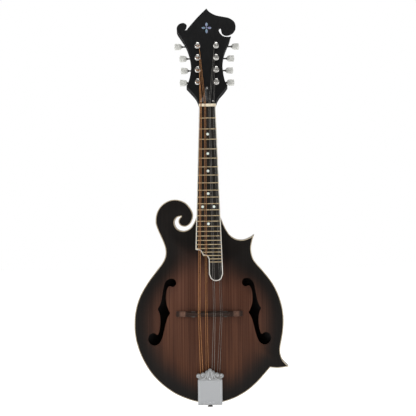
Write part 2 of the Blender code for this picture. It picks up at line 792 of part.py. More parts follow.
# ---------------------------------------------------------------- bridge
BRIDGE = Matrix(((1, 0, 0, 0), (0, -1, 0, 0), (0, 0, 1, bridge_z), (0, 0, 0, 1)))  # across, out, up the body
BRIDGE_UP = BRIDGE @ Matrix(((1, 0, 0, 0), (0, 0, 1, 0), (0, 1, 0, 0), (0, 0, 0, 1)))  # across, up the body, out
saddle_top = -string_rest_y - 0.06
saddle_low = saddle_top - saddle_height
wheel_top = saddle_low - gap
base_top = wheel_top - thumbwheel_thickness - lowering
half_base = bridge_base_width / 2
foot = [(half_base * k / 7, -top_surface(half_base * k / 7, bridge_z) + arch_gap) for k in range(-7, 8)]
crown = [
    (half_base, foot[-1][1] + 2.4),
    (half_base - 12, base_top - 1.5),
    (saddle_width / 2, base_top - 0.4),
    (stud_spread + 6, base_top),
    (-stud_spread - 6, base_top),
    (-saddle_width / 2, base_top - 0.4),
    (-half_base + 12, base_top - 1.5),
    (-half_base, foot[0][1] + 2.4),
]
bridge_base = finish(
    "bridge_base", "rosewood", plate(BRIDGE, foot + crown, (), -bridge_base_thickness / 2, bridge_base_thickness / 2)
)
saddle_outline = [
    (-saddle_width / 2, saddle_low + 2.2),
    (-stud_spread - 7, saddle_low),
    (-stud_spread + 7, saddle_low),
    (-stud_spread + 12, saddle_low + 1.2),
    (stud_spread - 12, saddle_low + 1.2),
    (stud_spread - 7, saddle_low),
    (stud_spread + 7, saddle_low),
    (saddle_width / 2, saddle_low + 2.2),
    (saddle_width / 2, saddle_top - 2.6),
    (saddle_width / 2 - 9, saddle_top),
    (-saddle_width / 2 + 9, saddle_top),
    (-saddle_width / 2, saddle_top - 2.6),
]
saddle = finish(
    "bridge_saddle", "rosewood", plate(BRIDGE, saddle_outline, (), -saddle_thickness / 2, saddle_thickness / 2)
)
BRIDGE_END = BRIDGE @ Matrix(((0, 0, 1, 0), (0, 1, 0, 0), (1, 0, 0, 0), (0, 0, 0, 1)))  # up the body, out, across
half_saddle = saddle_thickness / 2
for side in (-1, 1):
    wedge = [
        (side * saddle_crest / 2, saddle_top + 0.01),
        (side * (half_saddle + 1), saddle_top - saddle_bevel * (half_saddle + 1) / half_saddle),
        (side * (half_saddle + 1), saddle_top + 2),
        (side * saddle_crest / 2, saddle_top + 2),
    ]
    combined(saddle, "DIFFERENCE", plate(BRIDGE_END, wedge, (), -saddle_width / 2 - 2, saddle_width / 2 + 2))
stud_low = base_top - stud_depth
hole_top = saddle_top - 1.6
stud_high = hole_top - running - lowering
for side, name in ((-1, "bass"), (1, "treble")):
    x = side * stud_spread
    combined(
        bridge_base,
        "DIFFERENCE",
        plate(BRIDGE_UP, circle(x, 0, stud_radius + gap), (), stud_low - gap, base_top + 5),
    )
    combined(
        saddle,
        "DIFFERENCE",
        plate(BRIDGE_UP, circle(x, 0, stud_radius + running), (), saddle_low - 5, hole_top),
    )
    finish(f"bridge_stud_{name}", "steel", plate(BRIDGE_UP, circle(x, 0, stud_radius), (), stud_low, stud_high))
    finish(
        f"thumbwheel_{name}",
        "nickel",
        plate(
            BRIDGE_UP,
            circle(x, 0, thumbwheel_radius, 20),
            (circle(x, 0, stud_radius + 0.15, 12),),
            wheel_top - thumbwheel_thickness,
            wheel_top,
        ),
    )

# ---------------------------------------------------------------- tailpiece and end pin
tail_end_z = min(p[1] for p in edge)
base_out = -tail_base_under  # outer face of the base
base_low = base_out - tail_base_thickness
hook_line_y = rim_front
for _ in range(30):  # the height of the hooks that leaves the lip its clearance settles at once
    slope = math.atan2(hook_line_y - string_rest_y, bridge_z - hook_line_z)
    lip_z = hook_line_z + math.cos(slope) * tail_base_reach - math.sin(slope) * base_low
    lip_y = top_surface(0, lip_z) - tail_base_clearance
    hook_line_y = lip_y + math.sin(slope) * tail_base_reach + math.cos(slope) * base_low
print("hooks", round(hook_line_y, 4), "mm from the frame, strings' slope", round(math.degrees(slope), 3))
TAIL = Matrix(
    (
        (1, 0, 0, 0),
        (0, -math.sin(slope), -math.cos(slope), hook_line_y),
        (0, math.cos(slope), -math.sin(slope), hook_line_z),
        (0, 0, 0, 1),
    )
)  # across, from the hooks towards the bridge, out from the body
apron_z = tail_end_z - 0.5 - tail_base_thickness  # back of the part that hangs down the tail
base_tail = (apron_z - hook_line_z + base_low * math.sin(slope)) / math.cos(slope)
half_tail = tail_base_width / 2
tailpiece_base = finish(
    "tailpiece_base",
    "nickel",
    plate(TAIL, rectangle(-half_tail, half_tail, base_tail, tail_base_reach), (), base_low, base_out),
)
apron_top = (TAIL @ Vector((0, base_tail, base_out))).y + 0.3
combined(
    tailpiece_base,
    "UNION",
    box(
        BODY,
        (-half_tail + 4, half_tail - 4),
        (apron_z, apron_z + tail_base_thickness),
        (apron_top, rim_front + tail_base_drop),
    ),
)
combined(
    tailpiece_base,
    "DIFFERENCE",
    turned(pin_frame, "along", (0, tail_end_z, 0), ((-10, end_pin_bore), (10, end_pin_bore))),
)
hook_places = [hook_pitch * (k - 3.5) for k in range(8)]
hook_radius = 0.9
for x in hook_places:
    combined(
        tailpiece_base,
        "UNION",
        turned(TAIL, "out", (x, 0, 0), ((base_out - 0.6, hook_radius), (1.2, hook_radius)), 6),
    )

half_cover = cover_width / 2
side_end = 17.0
crown_bass = [
    (-half_cover, cover_slope_end),
    (-half_cover, side_end),
    (-19.2, 20.0),
    (-22.9, 23.8),
    (-21.6, 28.2),
    (-14.9, 29.4),
    (-9.2, 30.4),
    (-5.2, 33.2),
    (0.0, 37.7),
]
cover_outline = crown_bass + mirrored(crown_bass)[1:]
cover = finish(
    "tailpiece_cover",
    "nickel",
    plate(TAIL, cover_outline, (), cover_height, cover_height + cover_thickness),
)
for side in (-1, 1):
    wall = sorted((side * half_cover, side * (half_cover - cover_thickness)))
    combined(cover, "UNION", box(TAIL, wall, (cover_slope_end + 0.2, side_end - 0.2), (-3.2, cover_height + 0.5)))

pin_seat = apron_z - gap
finish(
    "end_pin",
    "black plastic",
    turned(
        pin_frame,
        "along",
        (0, pin_seat, 0),
        (
            (end_pin_depth, end_pin_radius - 0.6),
            (0.0, end_pin_radius),
            (-0.01, end_pin_head),
            (-2.0, end_pin_head),
            (-3.2, end_pin_radius),
            (-4.8, end_pin_radius),
            (-5.6, end_pin_head),
            (-end_pin_length, end_pin_head),
        ),
        16,
    ),
)

# ---------------------------------------------------------------- tuning machines
plate_low = headstock_thickness + gap
plate_high = plate_low + tuner_plate_thickness
gear_low = plate_high + 0.5
gear_high = gear_low + gear_width
shaft_back = 0.5 * (gear_low + gear_high)
shaft_offset = gear_radius + worm_radius + 0.25  # between a post's axis and its worm's
ear_clear = shaft_radius + 0.2
posts = {}
for name in names:
    course, which = name.split("_")
    side = -1 if course in "gd" else 1
    rank = {"g_outer": 0, "g_inner": 1, "d_outer": 2, "d_inner": 3, "e_outer": 0, "e_inner": 1, "a_outer": 2, "a_inner": 3}[name]
    posts[name] = (side, rank)

for side, label in ((-1, "bass"), (1, "treble")):
    inner, outer = post_spread - tuner_plate_width / 2, post_spread + tuner_plate_width / 2
    across = sorted((side * inner, side * outer))
    low, high = post_place(0) - 8.0, post_place(3) + shaft_offset + 6.0
    holes = [circle(side * post_spread, post_place(rank), post_hole, 10) for rank in range(4)]
    mount = finish(f"tuner_plate_{label}", "nickel", plate(HEAD, rectangle(*across, low, high), holes, plate_low, plate_high))
    for rank in range(4):
        along = post_place(rank) + shaft_offset
        for place in (post_spread - worm_length / 2 - 0.3 - ear_thickness, post_spread + worm_length / 2 + 0.3):
            ear = sorted((side * place, side * (place + ear_thickness)))
            combined(mount, "UNION", box(HEAD, ear, (along - 2.4, along + 2.4), (plate_high - 0.4, shaft_back + 2.4)))
        combined(
            mount,
            "DIFFERENCE",
            turned(HEAD, "across", (side * post_spread, along, shaft_back), ((-8, ear_clear), (8, ear_clear)), 8),
        )

for name, (side, rank) in posts.items():
    along = post_place(rank)
    finish(
        f"tuner_post_{name}",
        "nickel",
        turned(
            HEAD,
            "out",
            (side * post_spread, along, 0),
            (
                (-post_height, 2.0),
                (-post_height + 0.8, post_radius),
                (-7.0, post_radius),
                (-6.2, waist_radius),
                (-3.8, waist_radius),
                (-3.0, post_radius),
                (gear_low, post_radius),
                (gear_low + 0.01, gear_radius),
                (gear_high, gear_radius),
                (gear_high + 0.01, 1.8),
                (gear_high + 0.8, 1.8),
            ),
            12,
        ),
    )
    reach = button_reach[rank]
    start = post_spread - worm_length / 2 - 0.3 - ear_thickness - 0.8
    worm0, worm1 = post_spread - worm_length / 2, post_spread + worm_length / 2
    knob0, knob1 = reach - button_length / 2, reach + button_length / 2
    wide = button_width / 2
    profile = (
        (start, shaft_radius),
        (worm0, shaft_radius),
        (worm0 + 0.01, worm_radius),
        (worm1, worm_radius),
        (worm1 + 0.01, shaft_radius),
        (knob0, shaft_radius),
        (knob0 + 0.01, 2.2),
        (knob0 + 2.0, 2.6),
        (knob0 + 3.4, 0.82 * wide),
        (knob0 + 5.4, wide),
        (knob1 - 3.4, wide),
        (knob1 - 1.2, 0.8 * wide),
        (knob1, 0.5 * wide),
    )
    squash = button_thickness / button_width
    finish(
        f"tuner_button_{name}",
        "pearl",
        turned(
            HEAD,
            "across",
            (0, along + shaft_offset, shaft_back),
            tuple((side * step, radius) for step, radius in profile),
            10,
            lambda step: squash if abs(step) > knob0 + 3 else 1.0,
        ),
    )

# ---------------------------------------------------------------- strings
for place, name in enumerate(names):
    radius = string_radius[name[0]]
    side, rank = posts[name]
    at_nut = string_place(name, course_at_nut, pair_at_nut)
    at_bridge = string_place(name, course_at_bridge, pair_at_bridge)
    route = [
        TAIL @ Vector((hook_places[place], hook_radius + radius + 0.15, 0)),
        Vector((at_bridge, string_rest_y - radius, bridge_z)),
        NECK @ Vector((at_nut, 0.0, string_at_nut + radius)),
        NECK @ Vector((at_nut, -nut_length, string_at_nut + radius)),
        HEAD @ Vector((side * (post_spread - waist_radius - radius - 0.15), post_place(rank), -5.0)),
    ]
    rings = []
    for i, p in enumerate(route):
        before = (p - route[i - 1]).normalized() if i else (route[1] - p).normalized()
        after = (route[i + 1] - p).normalized() if i < len(route) - 1 else before
        ahead = (before + after).normalized()
        across = Vector((1, 0, 0)) - ahead * ahead.x
        across.normalize()
        out = ahead.cross(across)
        rings.append(
            [p + radius * (math.cos(math.tau * k / 6) * across + math.sin(math.tau * k / 6) * out) for k in range(6)]
        )
    finish(f"string_{name}", "bronze" if name[0] in "gd" else "steel", loft(rings))
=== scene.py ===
# %% [markdown]
# # An eight-string mandolin, dressed for its picture
# The engineering model arrives as a fixed frame: every solid is already in its real place, in metres, with
# +Z up along the hanging instrument, the strings facing -Y and the treble side at +X. This lesson gives the
# instrument its looks: carved and lacquered wood, bindings, strings, metalwork, light and camera.
# Whatever shape of the frame is good enough stays, and gets a finish. The rest is modelled again, finer,
# in the same place.

# %% Load the frame
import math

import bmesh
import bpy
from mathutils import Matrix, Vector
from mathutils.kdtree import KDTree


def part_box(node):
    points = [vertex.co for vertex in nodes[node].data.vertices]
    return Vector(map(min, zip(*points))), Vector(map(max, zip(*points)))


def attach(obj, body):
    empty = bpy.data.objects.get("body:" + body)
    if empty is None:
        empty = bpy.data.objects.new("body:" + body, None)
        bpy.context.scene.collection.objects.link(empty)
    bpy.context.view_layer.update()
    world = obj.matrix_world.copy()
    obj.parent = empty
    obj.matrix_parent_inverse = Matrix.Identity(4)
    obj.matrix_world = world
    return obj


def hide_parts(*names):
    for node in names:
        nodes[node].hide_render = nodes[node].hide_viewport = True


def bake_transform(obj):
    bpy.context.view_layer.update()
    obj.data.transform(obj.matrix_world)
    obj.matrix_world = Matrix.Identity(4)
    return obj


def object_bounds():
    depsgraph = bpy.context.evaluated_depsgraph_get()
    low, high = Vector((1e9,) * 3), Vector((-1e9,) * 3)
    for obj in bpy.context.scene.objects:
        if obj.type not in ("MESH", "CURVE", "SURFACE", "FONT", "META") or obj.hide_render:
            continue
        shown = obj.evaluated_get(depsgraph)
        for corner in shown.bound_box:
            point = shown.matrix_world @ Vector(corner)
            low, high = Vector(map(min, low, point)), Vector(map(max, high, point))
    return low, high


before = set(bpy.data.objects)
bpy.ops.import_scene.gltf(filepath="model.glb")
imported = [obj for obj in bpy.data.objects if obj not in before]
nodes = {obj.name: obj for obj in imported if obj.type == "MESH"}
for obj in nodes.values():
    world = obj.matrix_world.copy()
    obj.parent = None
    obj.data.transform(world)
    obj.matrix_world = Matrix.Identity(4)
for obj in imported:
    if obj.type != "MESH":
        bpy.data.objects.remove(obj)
engineering_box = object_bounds()
print(len(nodes), "solids, box", [round(v, 4) for v in (*engineering_box[0], *engineering_box[1])])

# %% [markdown]
# ## Working by operators
# Blender's operators act on whatever is selected, and the loaded solids are selected when we start. So every
# step begins by clearing the selection and making one object active. Drawings are in millimetres, as on a
# bench, and `MM` turns them into Blender's metres.

# %% Selection helpers
MM = 0.001


def alone(obj=None):
    """Leave edit mode, deselect everything, and select only this object."""
    if bpy.context.mode != "OBJECT":
        bpy.ops.object.mode_set(mode="OBJECT")
    bpy.ops.object.select_all(action="DESELECT")
    if obj is not None:
        obj.select_set(True)
        bpy.context.view_layer.objects.active = obj
    return obj


def started(name):
    """Name the object that an operator has just added."""
    obj = bpy.context.object
    obj.name = obj.data.name = name
    return obj


def edit(obj, by="FACE", whole=False):
    """Enter edit mode with nothing selected, or the whole mesh."""
    alone(obj)
    bpy.ops.object.mode_set(mode="EDIT")
    bpy.ops.mesh.select_mode(type=by)
    bpy.ops.mesh.select_all(action="SELECT" if whole else "DESELECT")


def pick(obj, kind, test):
    """Select the edges or other parts of the edited mesh that pass a test."""
    cage = bmesh.from_edit_mesh(obj.data)
    for part in getattr(cage, kind):
        if test(part):
            part.select_set(True)
    cage.select_flush_mode()
    bmesh.update_edit_mesh(obj.data)


def apply(obj, kind, **settings):
    """Add a modifier, set it up and apply it at once."""
    alone(obj)
    step = obj.modifiers.new(kind.lower(), kind)
    for key, value in settings.items():
        setattr(step, key, value)
    bpy.ops.object.modifier_apply(modifier=step.name)
    return obj


def outward(obj):
    """Merge doubles and turn all faces outwards."""
    edit(obj, whole=True)
    bpy.ops.mesh.remove_doubles(threshold=1e-6)
    bpy.ops.mesh.normals_make_consistent(inside=False)
    return alone(obj)


# %% [markdown]
# Three ways of starting a shape serve almost everything here. A **slab** is a filled circle whose vertices are
# laid along a drawn outline and then extruded, like a template cut from board. A **sweep** is a grid rolled
# round a line of rings, for a neck or a string. A **turning** is a profile spun round an axis, as on a lathe.
# Edges are then softened by a bevel, because a razor edge never catches the light.


# %% Slab, sweep and turning
def slab(name, outline, low, high):
    """A flat piece: the outline in x and y, its thickness from low to high in z, all in millimetres."""
    alone()
    bpy.ops.mesh.primitive_circle_add(vertices=len(outline), radius=MM, fill_type="NGON")
    obj = started(name)
    for vertex, (x, y) in zip(obj.data.vertices, outline):
        vertex.co = (x * MM, y * MM, low * MM)
    edit(obj, whole=True)
    bpy.ops.mesh.extrude_region_move(TRANSFORM_OT_translate={"value": (0, 0, (high - low) * MM)})
    return outward(obj)


def bar(name, half_x, half_y, low, high):
    """A slab whose outline is a rectangle about the middle."""
    outline = [(-half_x, -half_y), (half_x, -half_y), (half_x, half_y), (-half_x, half_y)]
    return slab(name, outline, low, high)


def sweep(name, rings, ends=True):
    """A tube through closed rings of the same number of points, in millimetres."""
    alone()
    bpy.ops.mesh.primitive_grid_add(x_subdivisions=len(rings[0]), y_subdivisions=len(rings) - 1, size=MM)
    obj = started(name)
    rolled = [p for ring in rings for p in (*ring, ring[0])]
    for vertex, p in zip(obj.data.vertices, rolled):
        vertex.co = Vector(p) * MM
    edit(obj, "EDGE", whole=True)
    bpy.ops.mesh.remove_doubles(threshold=1e-7)
    if ends:
        bpy.ops.mesh.fill_holes(sides=0)
    bpy.ops.mesh.select_all(action="SELECT")
    bpy.ops.mesh.normals_make_consistent(inside=False)
    return alone(obj)


def turning(name, profile, steps=32):
    """A lathe-turned piece round the z axis, from (radius, height) pairs in millimetres."""
    alone()
    bpy.ops.mesh.primitive_circle_add(vertices=len(profile), radius=MM, fill_type="NOTHING")
    obj = started(name)
    for vertex, (radius, height) in zip(obj.data.vertices, profile):
        vertex.co = (radius * MM, 0, height * MM)
    edit(obj, "EDGE")
    last = len(profile) - 1
    if profile[0][0] < 1e-6 and profile[-1][0] < 1e-6:
        pick(obj, "edges", lambda e: {v.index for v in e.verts} == {0, last})
        bpy.ops.mesh.delete(type="EDGE")
    bpy.ops.mesh.select_all(action="SELECT")
    bpy.ops.mesh.spin(steps=steps, angle=math.tau, center=(0, 0, 0), axis=(0, 0, 1))
    return outward(obj)


def place(obj, matrix):
    """Move the mesh, not the object, so that the object stays at the origin. A mirroring turns faces round."""
    obj.data.transform(matrix)
    if matrix.determinant() < 0:
        obj.data.flip_normals()
    obj.data.update()
    return obj


def copy(obj, name, matrix=None):
    """Another of the same, with a mesh of its own."""
    twin = obj.copy()
    twin.data = obj.data.copy()
    twin.name = twin.data.name = name
    bpy.context.scene.collection.objects.link(twin)
    return twin if matrix is None else place(twin, matrix)


def weld(name, *parts):
    """Several meshes become one object."""
    alone(parts[0])
    for part in parts[1:]:
        part.select_set(True)
    bpy.ops.object.join()
    parts[0].name = parts[0].data.name = name
    return parts[0]


def carve(obj, operation, *tools):
    """Cut the tools away, join them on, or keep what lies inside them. The tools are used up."""
    for tool in tools:
        apply(obj, "BOOLEAN", operation=operation, solver="EXACT", object=tool)
        bpy.data.objects.remove(tool)
    return obj


def shade(obj, angle=38):
    """Smooth, but for the edges that turn more than the angle."""
    alone(obj)
    bpy.ops.object.shade_smooth_by_angle(angle=math.radians(angle))
    return apply(obj, "WEIGHTED_NORMAL", keep_sharp=True)


def soften(obj, width, segments=2, angle=38):
    """Round every edge that turns more than the angle."""
    apply(
        obj,
        "BEVEL",
        width=width * MM,
        segments=segments,
        limit_method="ANGLE",
        angle_limit=math.radians(angle),
        use_clamp_overlap=False,
        miter_outer="MITER_ARC",
    )
    return shade(obj)


def belongs(obj, body, slot, finish, *replaced):
    """Say which body the piece moves with, which finish it has and which solids it stands for."""
    if finish is not None:
        obj.data.materials.clear()
        obj.data.materials.append(finish)
    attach(obj, body)
    if replaced:
        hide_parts(*replaced)
    return obj


def dressed(node, finish, slot, width=0.25, segments=2, body="instrument"):
    """A merged copy of a solid, its flat faces joined up and its edges rounded, in the solid's place."""
    obj = nodes[node].copy()
    obj.data = nodes[node].data.copy()
    obj.parent = None
    for key in list(obj.keys()):
        if key.startswith("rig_"):
            del obj[key]
    bpy.context.scene.collection.objects.link(obj)
    obj.name = obj.data.name = node + "_dressed"
    edit(obj, whole=True)
    bpy.ops.mesh.remove_doubles(threshold=2e-6)
    bpy.ops.mesh.customdata_custom_splitnormals_clear()
    bpy.ops.mesh.dissolve_limited(angle_limit=math.radians(0.6))
    bpy.ops.mesh.normals_make_consistent(inside=False)
    alone(obj)
    if width:
        soften(obj, width, segments)
    else:
        shade(obj)
    return belongs(obj, body, slot, finish, node)


# %% [markdown]
# ## Finishes
# Every finish is worked out by nodes. A small class holds one socket of a material and lets us write its maths
# as ordinary Python: `1 - mask` adds a Math node. Patterns start from Object coordinates, which are the same
# as the row's own because every finished piece's object sits at the origin.


# %% A socket that does arithmetic
class Value:
    def __init__(self, tree, socket):
        self.tree, self.socket = tree, socket

    def node(self, kind, settings=None, inputs=None, output=0):
        """Any other node: its type, its settings, the values or links of its sockets."""
        made = self.tree.nodes.new("ShaderNode" + kind)
        for key, value in (settings or {}).items():
            if key == "stops":
                ramp = made.color_ramp
                while len(ramp.elements) < len(value):
                    ramp.elements.new(0.5)
                for element, (position, colour) in zip(ramp.elements, value):
                    element.position, element.color = position, (*colour, 1)
            else:
                setattr(made, key, value)
        for key, value in (inputs or {}).items():
            if isinstance(value, Value):
                self.tree.links.new(value.socket, made.inputs[key])
            else:
                made.inputs[key].default_value = value
        return Value(self.tree, made.outputs[output])

    def math(self, operation, a, b=0.0):
        return self.node("Math", {"operation": operation}, {0: a, 1: b})

    def __add__(self, other):
        return self.math("ADD", self, other)

    def __mul__(self, other):
        return self.math("MULTIPLY", self, other)

    def __sub__(self, other):
        return self.math("SUBTRACT", self, other)

    def __rsub__(self, other):
        return self.math("SUBTRACT", other, self)

    def __pow__(self, other):
        return self.math("POWER", self, other)

    __radd__, __rmul__ = __add__, __mul__

    def step(self, low, high):
        """0 below low, 1 above high, smooth between."""
        return self.node(
            "MapRange",
            {"interpolation_type": "SMOOTHSTEP"},
            {"Value": self, "From Min": low, "From Max": high},
        )

    def scaled(self, x, y, z):
        return self.node("Mapping", {"vector_type": "POINT"}, {"Vector": self, "Scale": (x, y, z)})

    def noise(self, stretch, detail=3.0, rough=0.5):
        """Noise of so many cells to a metre: one number, or one for each direction."""
        x, y, z = stretch if isinstance(stretch, tuple) else (stretch, stretch, stretch)
        settings = {"Vector": self.scaled(x, y, z), "Scale": 1.0, "Detail": detail, "Roughness": rough}
        return self.node("TexNoise", {}, settings)

    def axis(self, number):
        """x, y or z by itself."""
        return self.node("SeparateXYZ", inputs={"Vector": self}, output=number)

    def attribute(self, name):
        """A number that the mesh carries at each vertex."""
        return self.node("Attribute", {"attribute_name": name}, output=2)

    def mix(self, low, high):
        """A colour between two, by this value. Each may be a colour or another node's."""
        low, high = ((*c, 1) if isinstance(c, tuple) else c for c in (low, high))
        return self.node("Mix", {"data_type": "RGBA"}, {0: self, 6: low, 7: high}, output=2)

    def bump(self, strength, distance):
        return self.node("Bump", {}, {"Height": self, "Strength": strength, "Distance": distance})


def finish(name, **constants):
    """A material with its Principled shader, and the coordinates that its patterns start from."""
    made = bpy.data.materials.new(name)
    made.use_nodes = True
    tree = made.node_tree
    shader = tree.nodes["Principled BSDF"]
    for key, value in constants.items():
        shader.inputs[key.replace("_", " ")].default_value = value
    coordinates = Value(tree, tree.nodes.new("ShaderNodeTexCoord").outputs["Object"])

    def use(**links):
        for key, value in links.items():
            tree.links.new(value.socket, shader.inputs[key.replace("_", " ")])
        return made

    return coordinates, use


# %% [markdown]
# **Lacquered top.** The top is spruce with close, straight grain that runs with the strings. A satin lacquer
# shades it from red-brown in the middle to black at the edge: the sunburst. How far a place is from the edge
# can't be told from its coordinates, so the plates carry an attribute, `from_edge`, in millimetres. The
# grain is noise stretched along the strings at three widths, because a real plate shows fine lines, wider
# bands and slow clouds all at once.

# %% Sunburst spruce
place_at, use = finish("sunburst_spruce", Specular_IOR_Level=0.11)
from_edge, across, height = place_at.attribute("from_edge"), place_at.axis(0), place_at.axis(2)
drift = place_at.noise((14, 14, 9), 2) - 0.5
burst = (from_edge + drift * 12).step(7.0, 52.0) * (0 - height - across * 0.28 + drift * 0.012).step(0.232, 0.305)
fine = place_at.noise((1000, 8, 7), 3, 0.6)
bands = place_at.noise((420, 3, 2.6), 3, 0.6)
clouds = place_at.noise((40, 3, 4), 2)
streak = (fine.step(0.35, 0.75) * 0.45 + bands.step(0.34, 0.68) * 0.70 + clouds.step(0.25, 0.75) * 0.55).step(0.15, 1.5)
# Painted shade: the grain is mixed from a lit colour high on the body to a darker, redder shaded copy of it towards the
# bottom, standing for light from above.
warm = streak.mix((0.050, 0.0185, 0.0105), (0.102, 0.0430, 0.0265))
shaded_spruce = streak.mix((0.034, 0.0105, 0.0048), (0.084, 0.0300, 0.0125))
wood = (0 - height).step(0.30, 0.47).mix(warm, shaded_spruce)
edge_colour = bands.step(0.3, 0.7).mix((0.0050, 0.0040, 0.0035), (0.0082, 0.0064, 0.0053))
rough = place_at.noise((60, 60, 22), 4) * 0.10 + fine * 0.05 + 0.33
sunburst_spruce = use(
    Base_Color=(burst ** 1.1).mix(edge_colour, wood), Roughness=rough, Normal=(fine + bands * 0.6).bump(0.07, 0.0004)
)

# %% [markdown]
# **Lacquered maple.** The back, sides and neck are maple. Its figure, the flame, runs across the grain in soft
# bars, and shows through the brown lacquer when light rakes over it. The same recipe makes the sunburst back
# and the plain dark sides; only the sunburst has the `from_edge` mask.


# %% Flamed maple, plain and sunburst
def flamed(name, dark, light, masked):
    place_at, use = finish(name, Specular_IOR_Level=0.12 if masked == "headstock" else 0.2)
    warp = place_at.noise((16, 16, 9), 2)
    flame = place_at.node(
        "TexWave",
        {"wave_type": "BANDS", "bands_direction": "Z", "wave_profile": "SIN"},
        {
            "Vector": place_at.scaled(0.6, 1.0, 1.0), "Scale": 33.0, "Distortion": 3.5,
            "Detail": 2.0, "Detail Scale": 0.7,
        },
        output=1,
    )
    pores = place_at.noise((1400, 1400, 60), 3, 0.6)
    figure = flame * 0.24 + warp * 0.62 + pores * 0.25
    colour = figure.step(0.2, 0.95).mix(dark, light)
    if masked == "headstock":
        black = place_at.axis(2).step(-0.004, 0.010)
        colour = black.mix(colour, (0.0024, 0.0023, 0.0023))
    elif masked == "edge":
        mask = (place_at.attribute("from_edge") + (warp - 0.5) * 16).step(10.0, 58.0)
        colour = mask.mix((0.0075, 0.0056, 0.0048), colour)
    rough = place_at.noise(50, 4) * 0.10 + 0.27
    if masked == "headstock":
        rough = rough + black * 0.45
    return use(Base_Color=colour, Roughness=rough, Normal=(pores + flame * 0.15).bump(0.05, 0.0003))


sunburst_maple = flamed("sunburst_maple", (0.055, 0.018, 0.009), (0.135, 0.050, 0.024), "edge")
dark_maple = flamed("dark_maple", (0.014, 0.0075, 0.0055), (0.034, 0.0165, 0.0105), None)
neck_maple = flamed("neck_maple", (0.014, 0.0075, 0.0055), (0.034, 0.0165, 0.0105), "headstock")
# Painted shade: a near-black maple for the back's inner face, standing for the shade inside the body.
inside_painted_shade = flamed("inside_painted_shade_maple", (0.006, 0.0034, 0.0024), (0.013, 0.0066, 0.0042), None)

# %% [markdown]
# **Bindings, nut and pearl.** Binding is cream celluloid, a little yellowed and never quite one colour. The
# nut is bone, with short brown fibres. Pearloid is a cast plastic full of bright flakes: cells of noise, each
# with its own grey, do that well. Real shell, in the dots, is finer and more colourful.

# %% Cream, bone, pearloid and shell
place_at, use = finish("cream_binding", Specular_IOR_Level=0.5)
age = place_at.noise(45, 4)
cream = use(
    Base_Color=age.step(0.3, 0.75).mix((0.31, 0.25, 0.165), (0.44, 0.375, 0.27)),
    Roughness=age * 0.2 + 0.25,
    Normal=place_at.noise(800, 2).bump(0.04, 0.0002),
)
place_at, use = finish("board_binding", Specular_IOR_Level=0.5)
age = place_at.noise(45, 4)
white_binding = use(
    Base_Color=age.step(0.3, 0.75).mix((0.60, 0.575, 0.52), (0.72, 0.695, 0.64)),
    Roughness=age * 0.2 + 0.25,
)
place_at, use = finish("polished_bone", Specular_IOR_Level=0.5)
fibre = place_at.noise((1500, 300, 1500), 3)
bone = use(
    Base_Color=fibre.step(0.35, 0.8).mix((0.78, 0.70, 0.54), (0.62, 0.50, 0.34)),
    Roughness=fibre * 0.2 + 0.25,
    Normal=fibre.bump(0.06, 0.0002),
)


def pearly(name, scale, dark, light, rough, tint=None):
    place_at, use = finish(name, Specular_IOR_Level=0.6, Coat_Roughness=0.08)
    swirl = place_at.noise(scale * 0.5, 3)
    flakes = place_at.node(
        "TexVoronoi", {"feature": "F1", "distance": "EUCLIDEAN"}, {"Vector": place_at, "Scale": scale}, output=1
    )
    grey = flakes.node("SeparateColor", inputs={"Color": flakes}) * 0.6 + swirl * 0.5
    colour = grey.step(0.15, 0.95).mix(dark, light)
    if tint:
        colour = (swirl.step(0.42, 0.62) * 0.55).mix(colour, tint)
    return use(Base_Color=colour, Roughness=grey * 0.15 + rough)


pearloid = pearly("pearloid", 520.0, (0.44, 0.44, 0.41), (0.68, 0.68, 0.64), 0.16)
shell = pearly("shell", 900.0, (0.62, 0.66, 0.62), (0.92, 0.95, 0.90), 0.12, (0.62, 0.80, 0.74))
abalone = pearly("abalone", 420.0, (0.05, 0.11, 0.16), (0.22, 0.34, 0.40), 0.14, (0.19, 0.11, 0.30))

# %% [markdown]
# **Dark woods and lacquer.** The fretboard and bridge are oiled, not lacquered: pores run along the grain and
# the surface is only slightly shiny. The headstock's face is black and sprayed, with fine dust under the satin.


# %% Ebony, rosewood, black lacquer, black plastic
def oiled(name, dark, light, stretch, rough, worn=False):
    place_at, use = finish(name, Specular_IOR_Level=0.12)
    grain = place_at.noise(stretch, 4, 0.6)
    slow = place_at.noise(tuple(v * 0.12 for v in stretch), 2)
    mixed = (grain * 0.65 + slow * 0.5).step(0.3, 0.85)
    colour = mixed.mix(dark, light)
    if worn:  # the bridge's sloping ends are rubbed paler
        out = place_at.math("ABSOLUTE", place_at.axis(0))
        rubbed = out.step(0.0385, 0.0425) * (1 - out.step(0.0470, 0.0525)) * (mixed * 0.6 + 0.3)
        colour = rubbed.mix(colour, (0.165, 0.088, 0.062))
    return use(Base_Color=colour, Roughness=grain * 0.18 + rough, Normal=grain.bump(0.12, 0.0003))


ebony = oiled("oiled_ebony", (0.0075, 0.0068, 0.0062), (0.021, 0.018, 0.0155), (1100, 1100, 40), 0.34)
rosewood = oiled("oiled_rosewood", (0.009, 0.0045, 0.0030), (0.034, 0.0165, 0.0105), (60, 900, 900), 0.36, worn=True)
mahogany = oiled("bare_mahogany", (0.13, 0.055, 0.026), (0.26, 0.12, 0.058), (700, 700, 30), 0.6)
spruce = oiled("bare_spruce", (0.42, 0.28, 0.14), (0.60, 0.44, 0.25), (900, 900, 12), 0.6)

place_at, use = finish("black_lacquer", Specular_IOR_Level=0.08)
dust = place_at.noise(700, 3)
sink = place_at.noise((240, 240, 16), 3)
black_lacquer = use(
    Base_Color=sink.step(0.3, 0.8).mix((0.0026, 0.0027, 0.0029), (0.0052, 0.0052, 0.0054)),
    Roughness=dust * 0.12 + 0.32,
    Normal=(dust * 0.4 + sink).bump(0.04, 0.0003),
)
place_at, use = finish("black_plastic", Specular_IOR_Level=0.3)
scuffs = place_at.noise(300, 5, 0.65)
black_plastic = use(
    Base_Color=scuffs.step(0.4, 0.8).mix((0.007, 0.007, 0.007), (0.014, 0.014, 0.014)),
    Roughness=scuffs * 0.25 + 0.12,
)

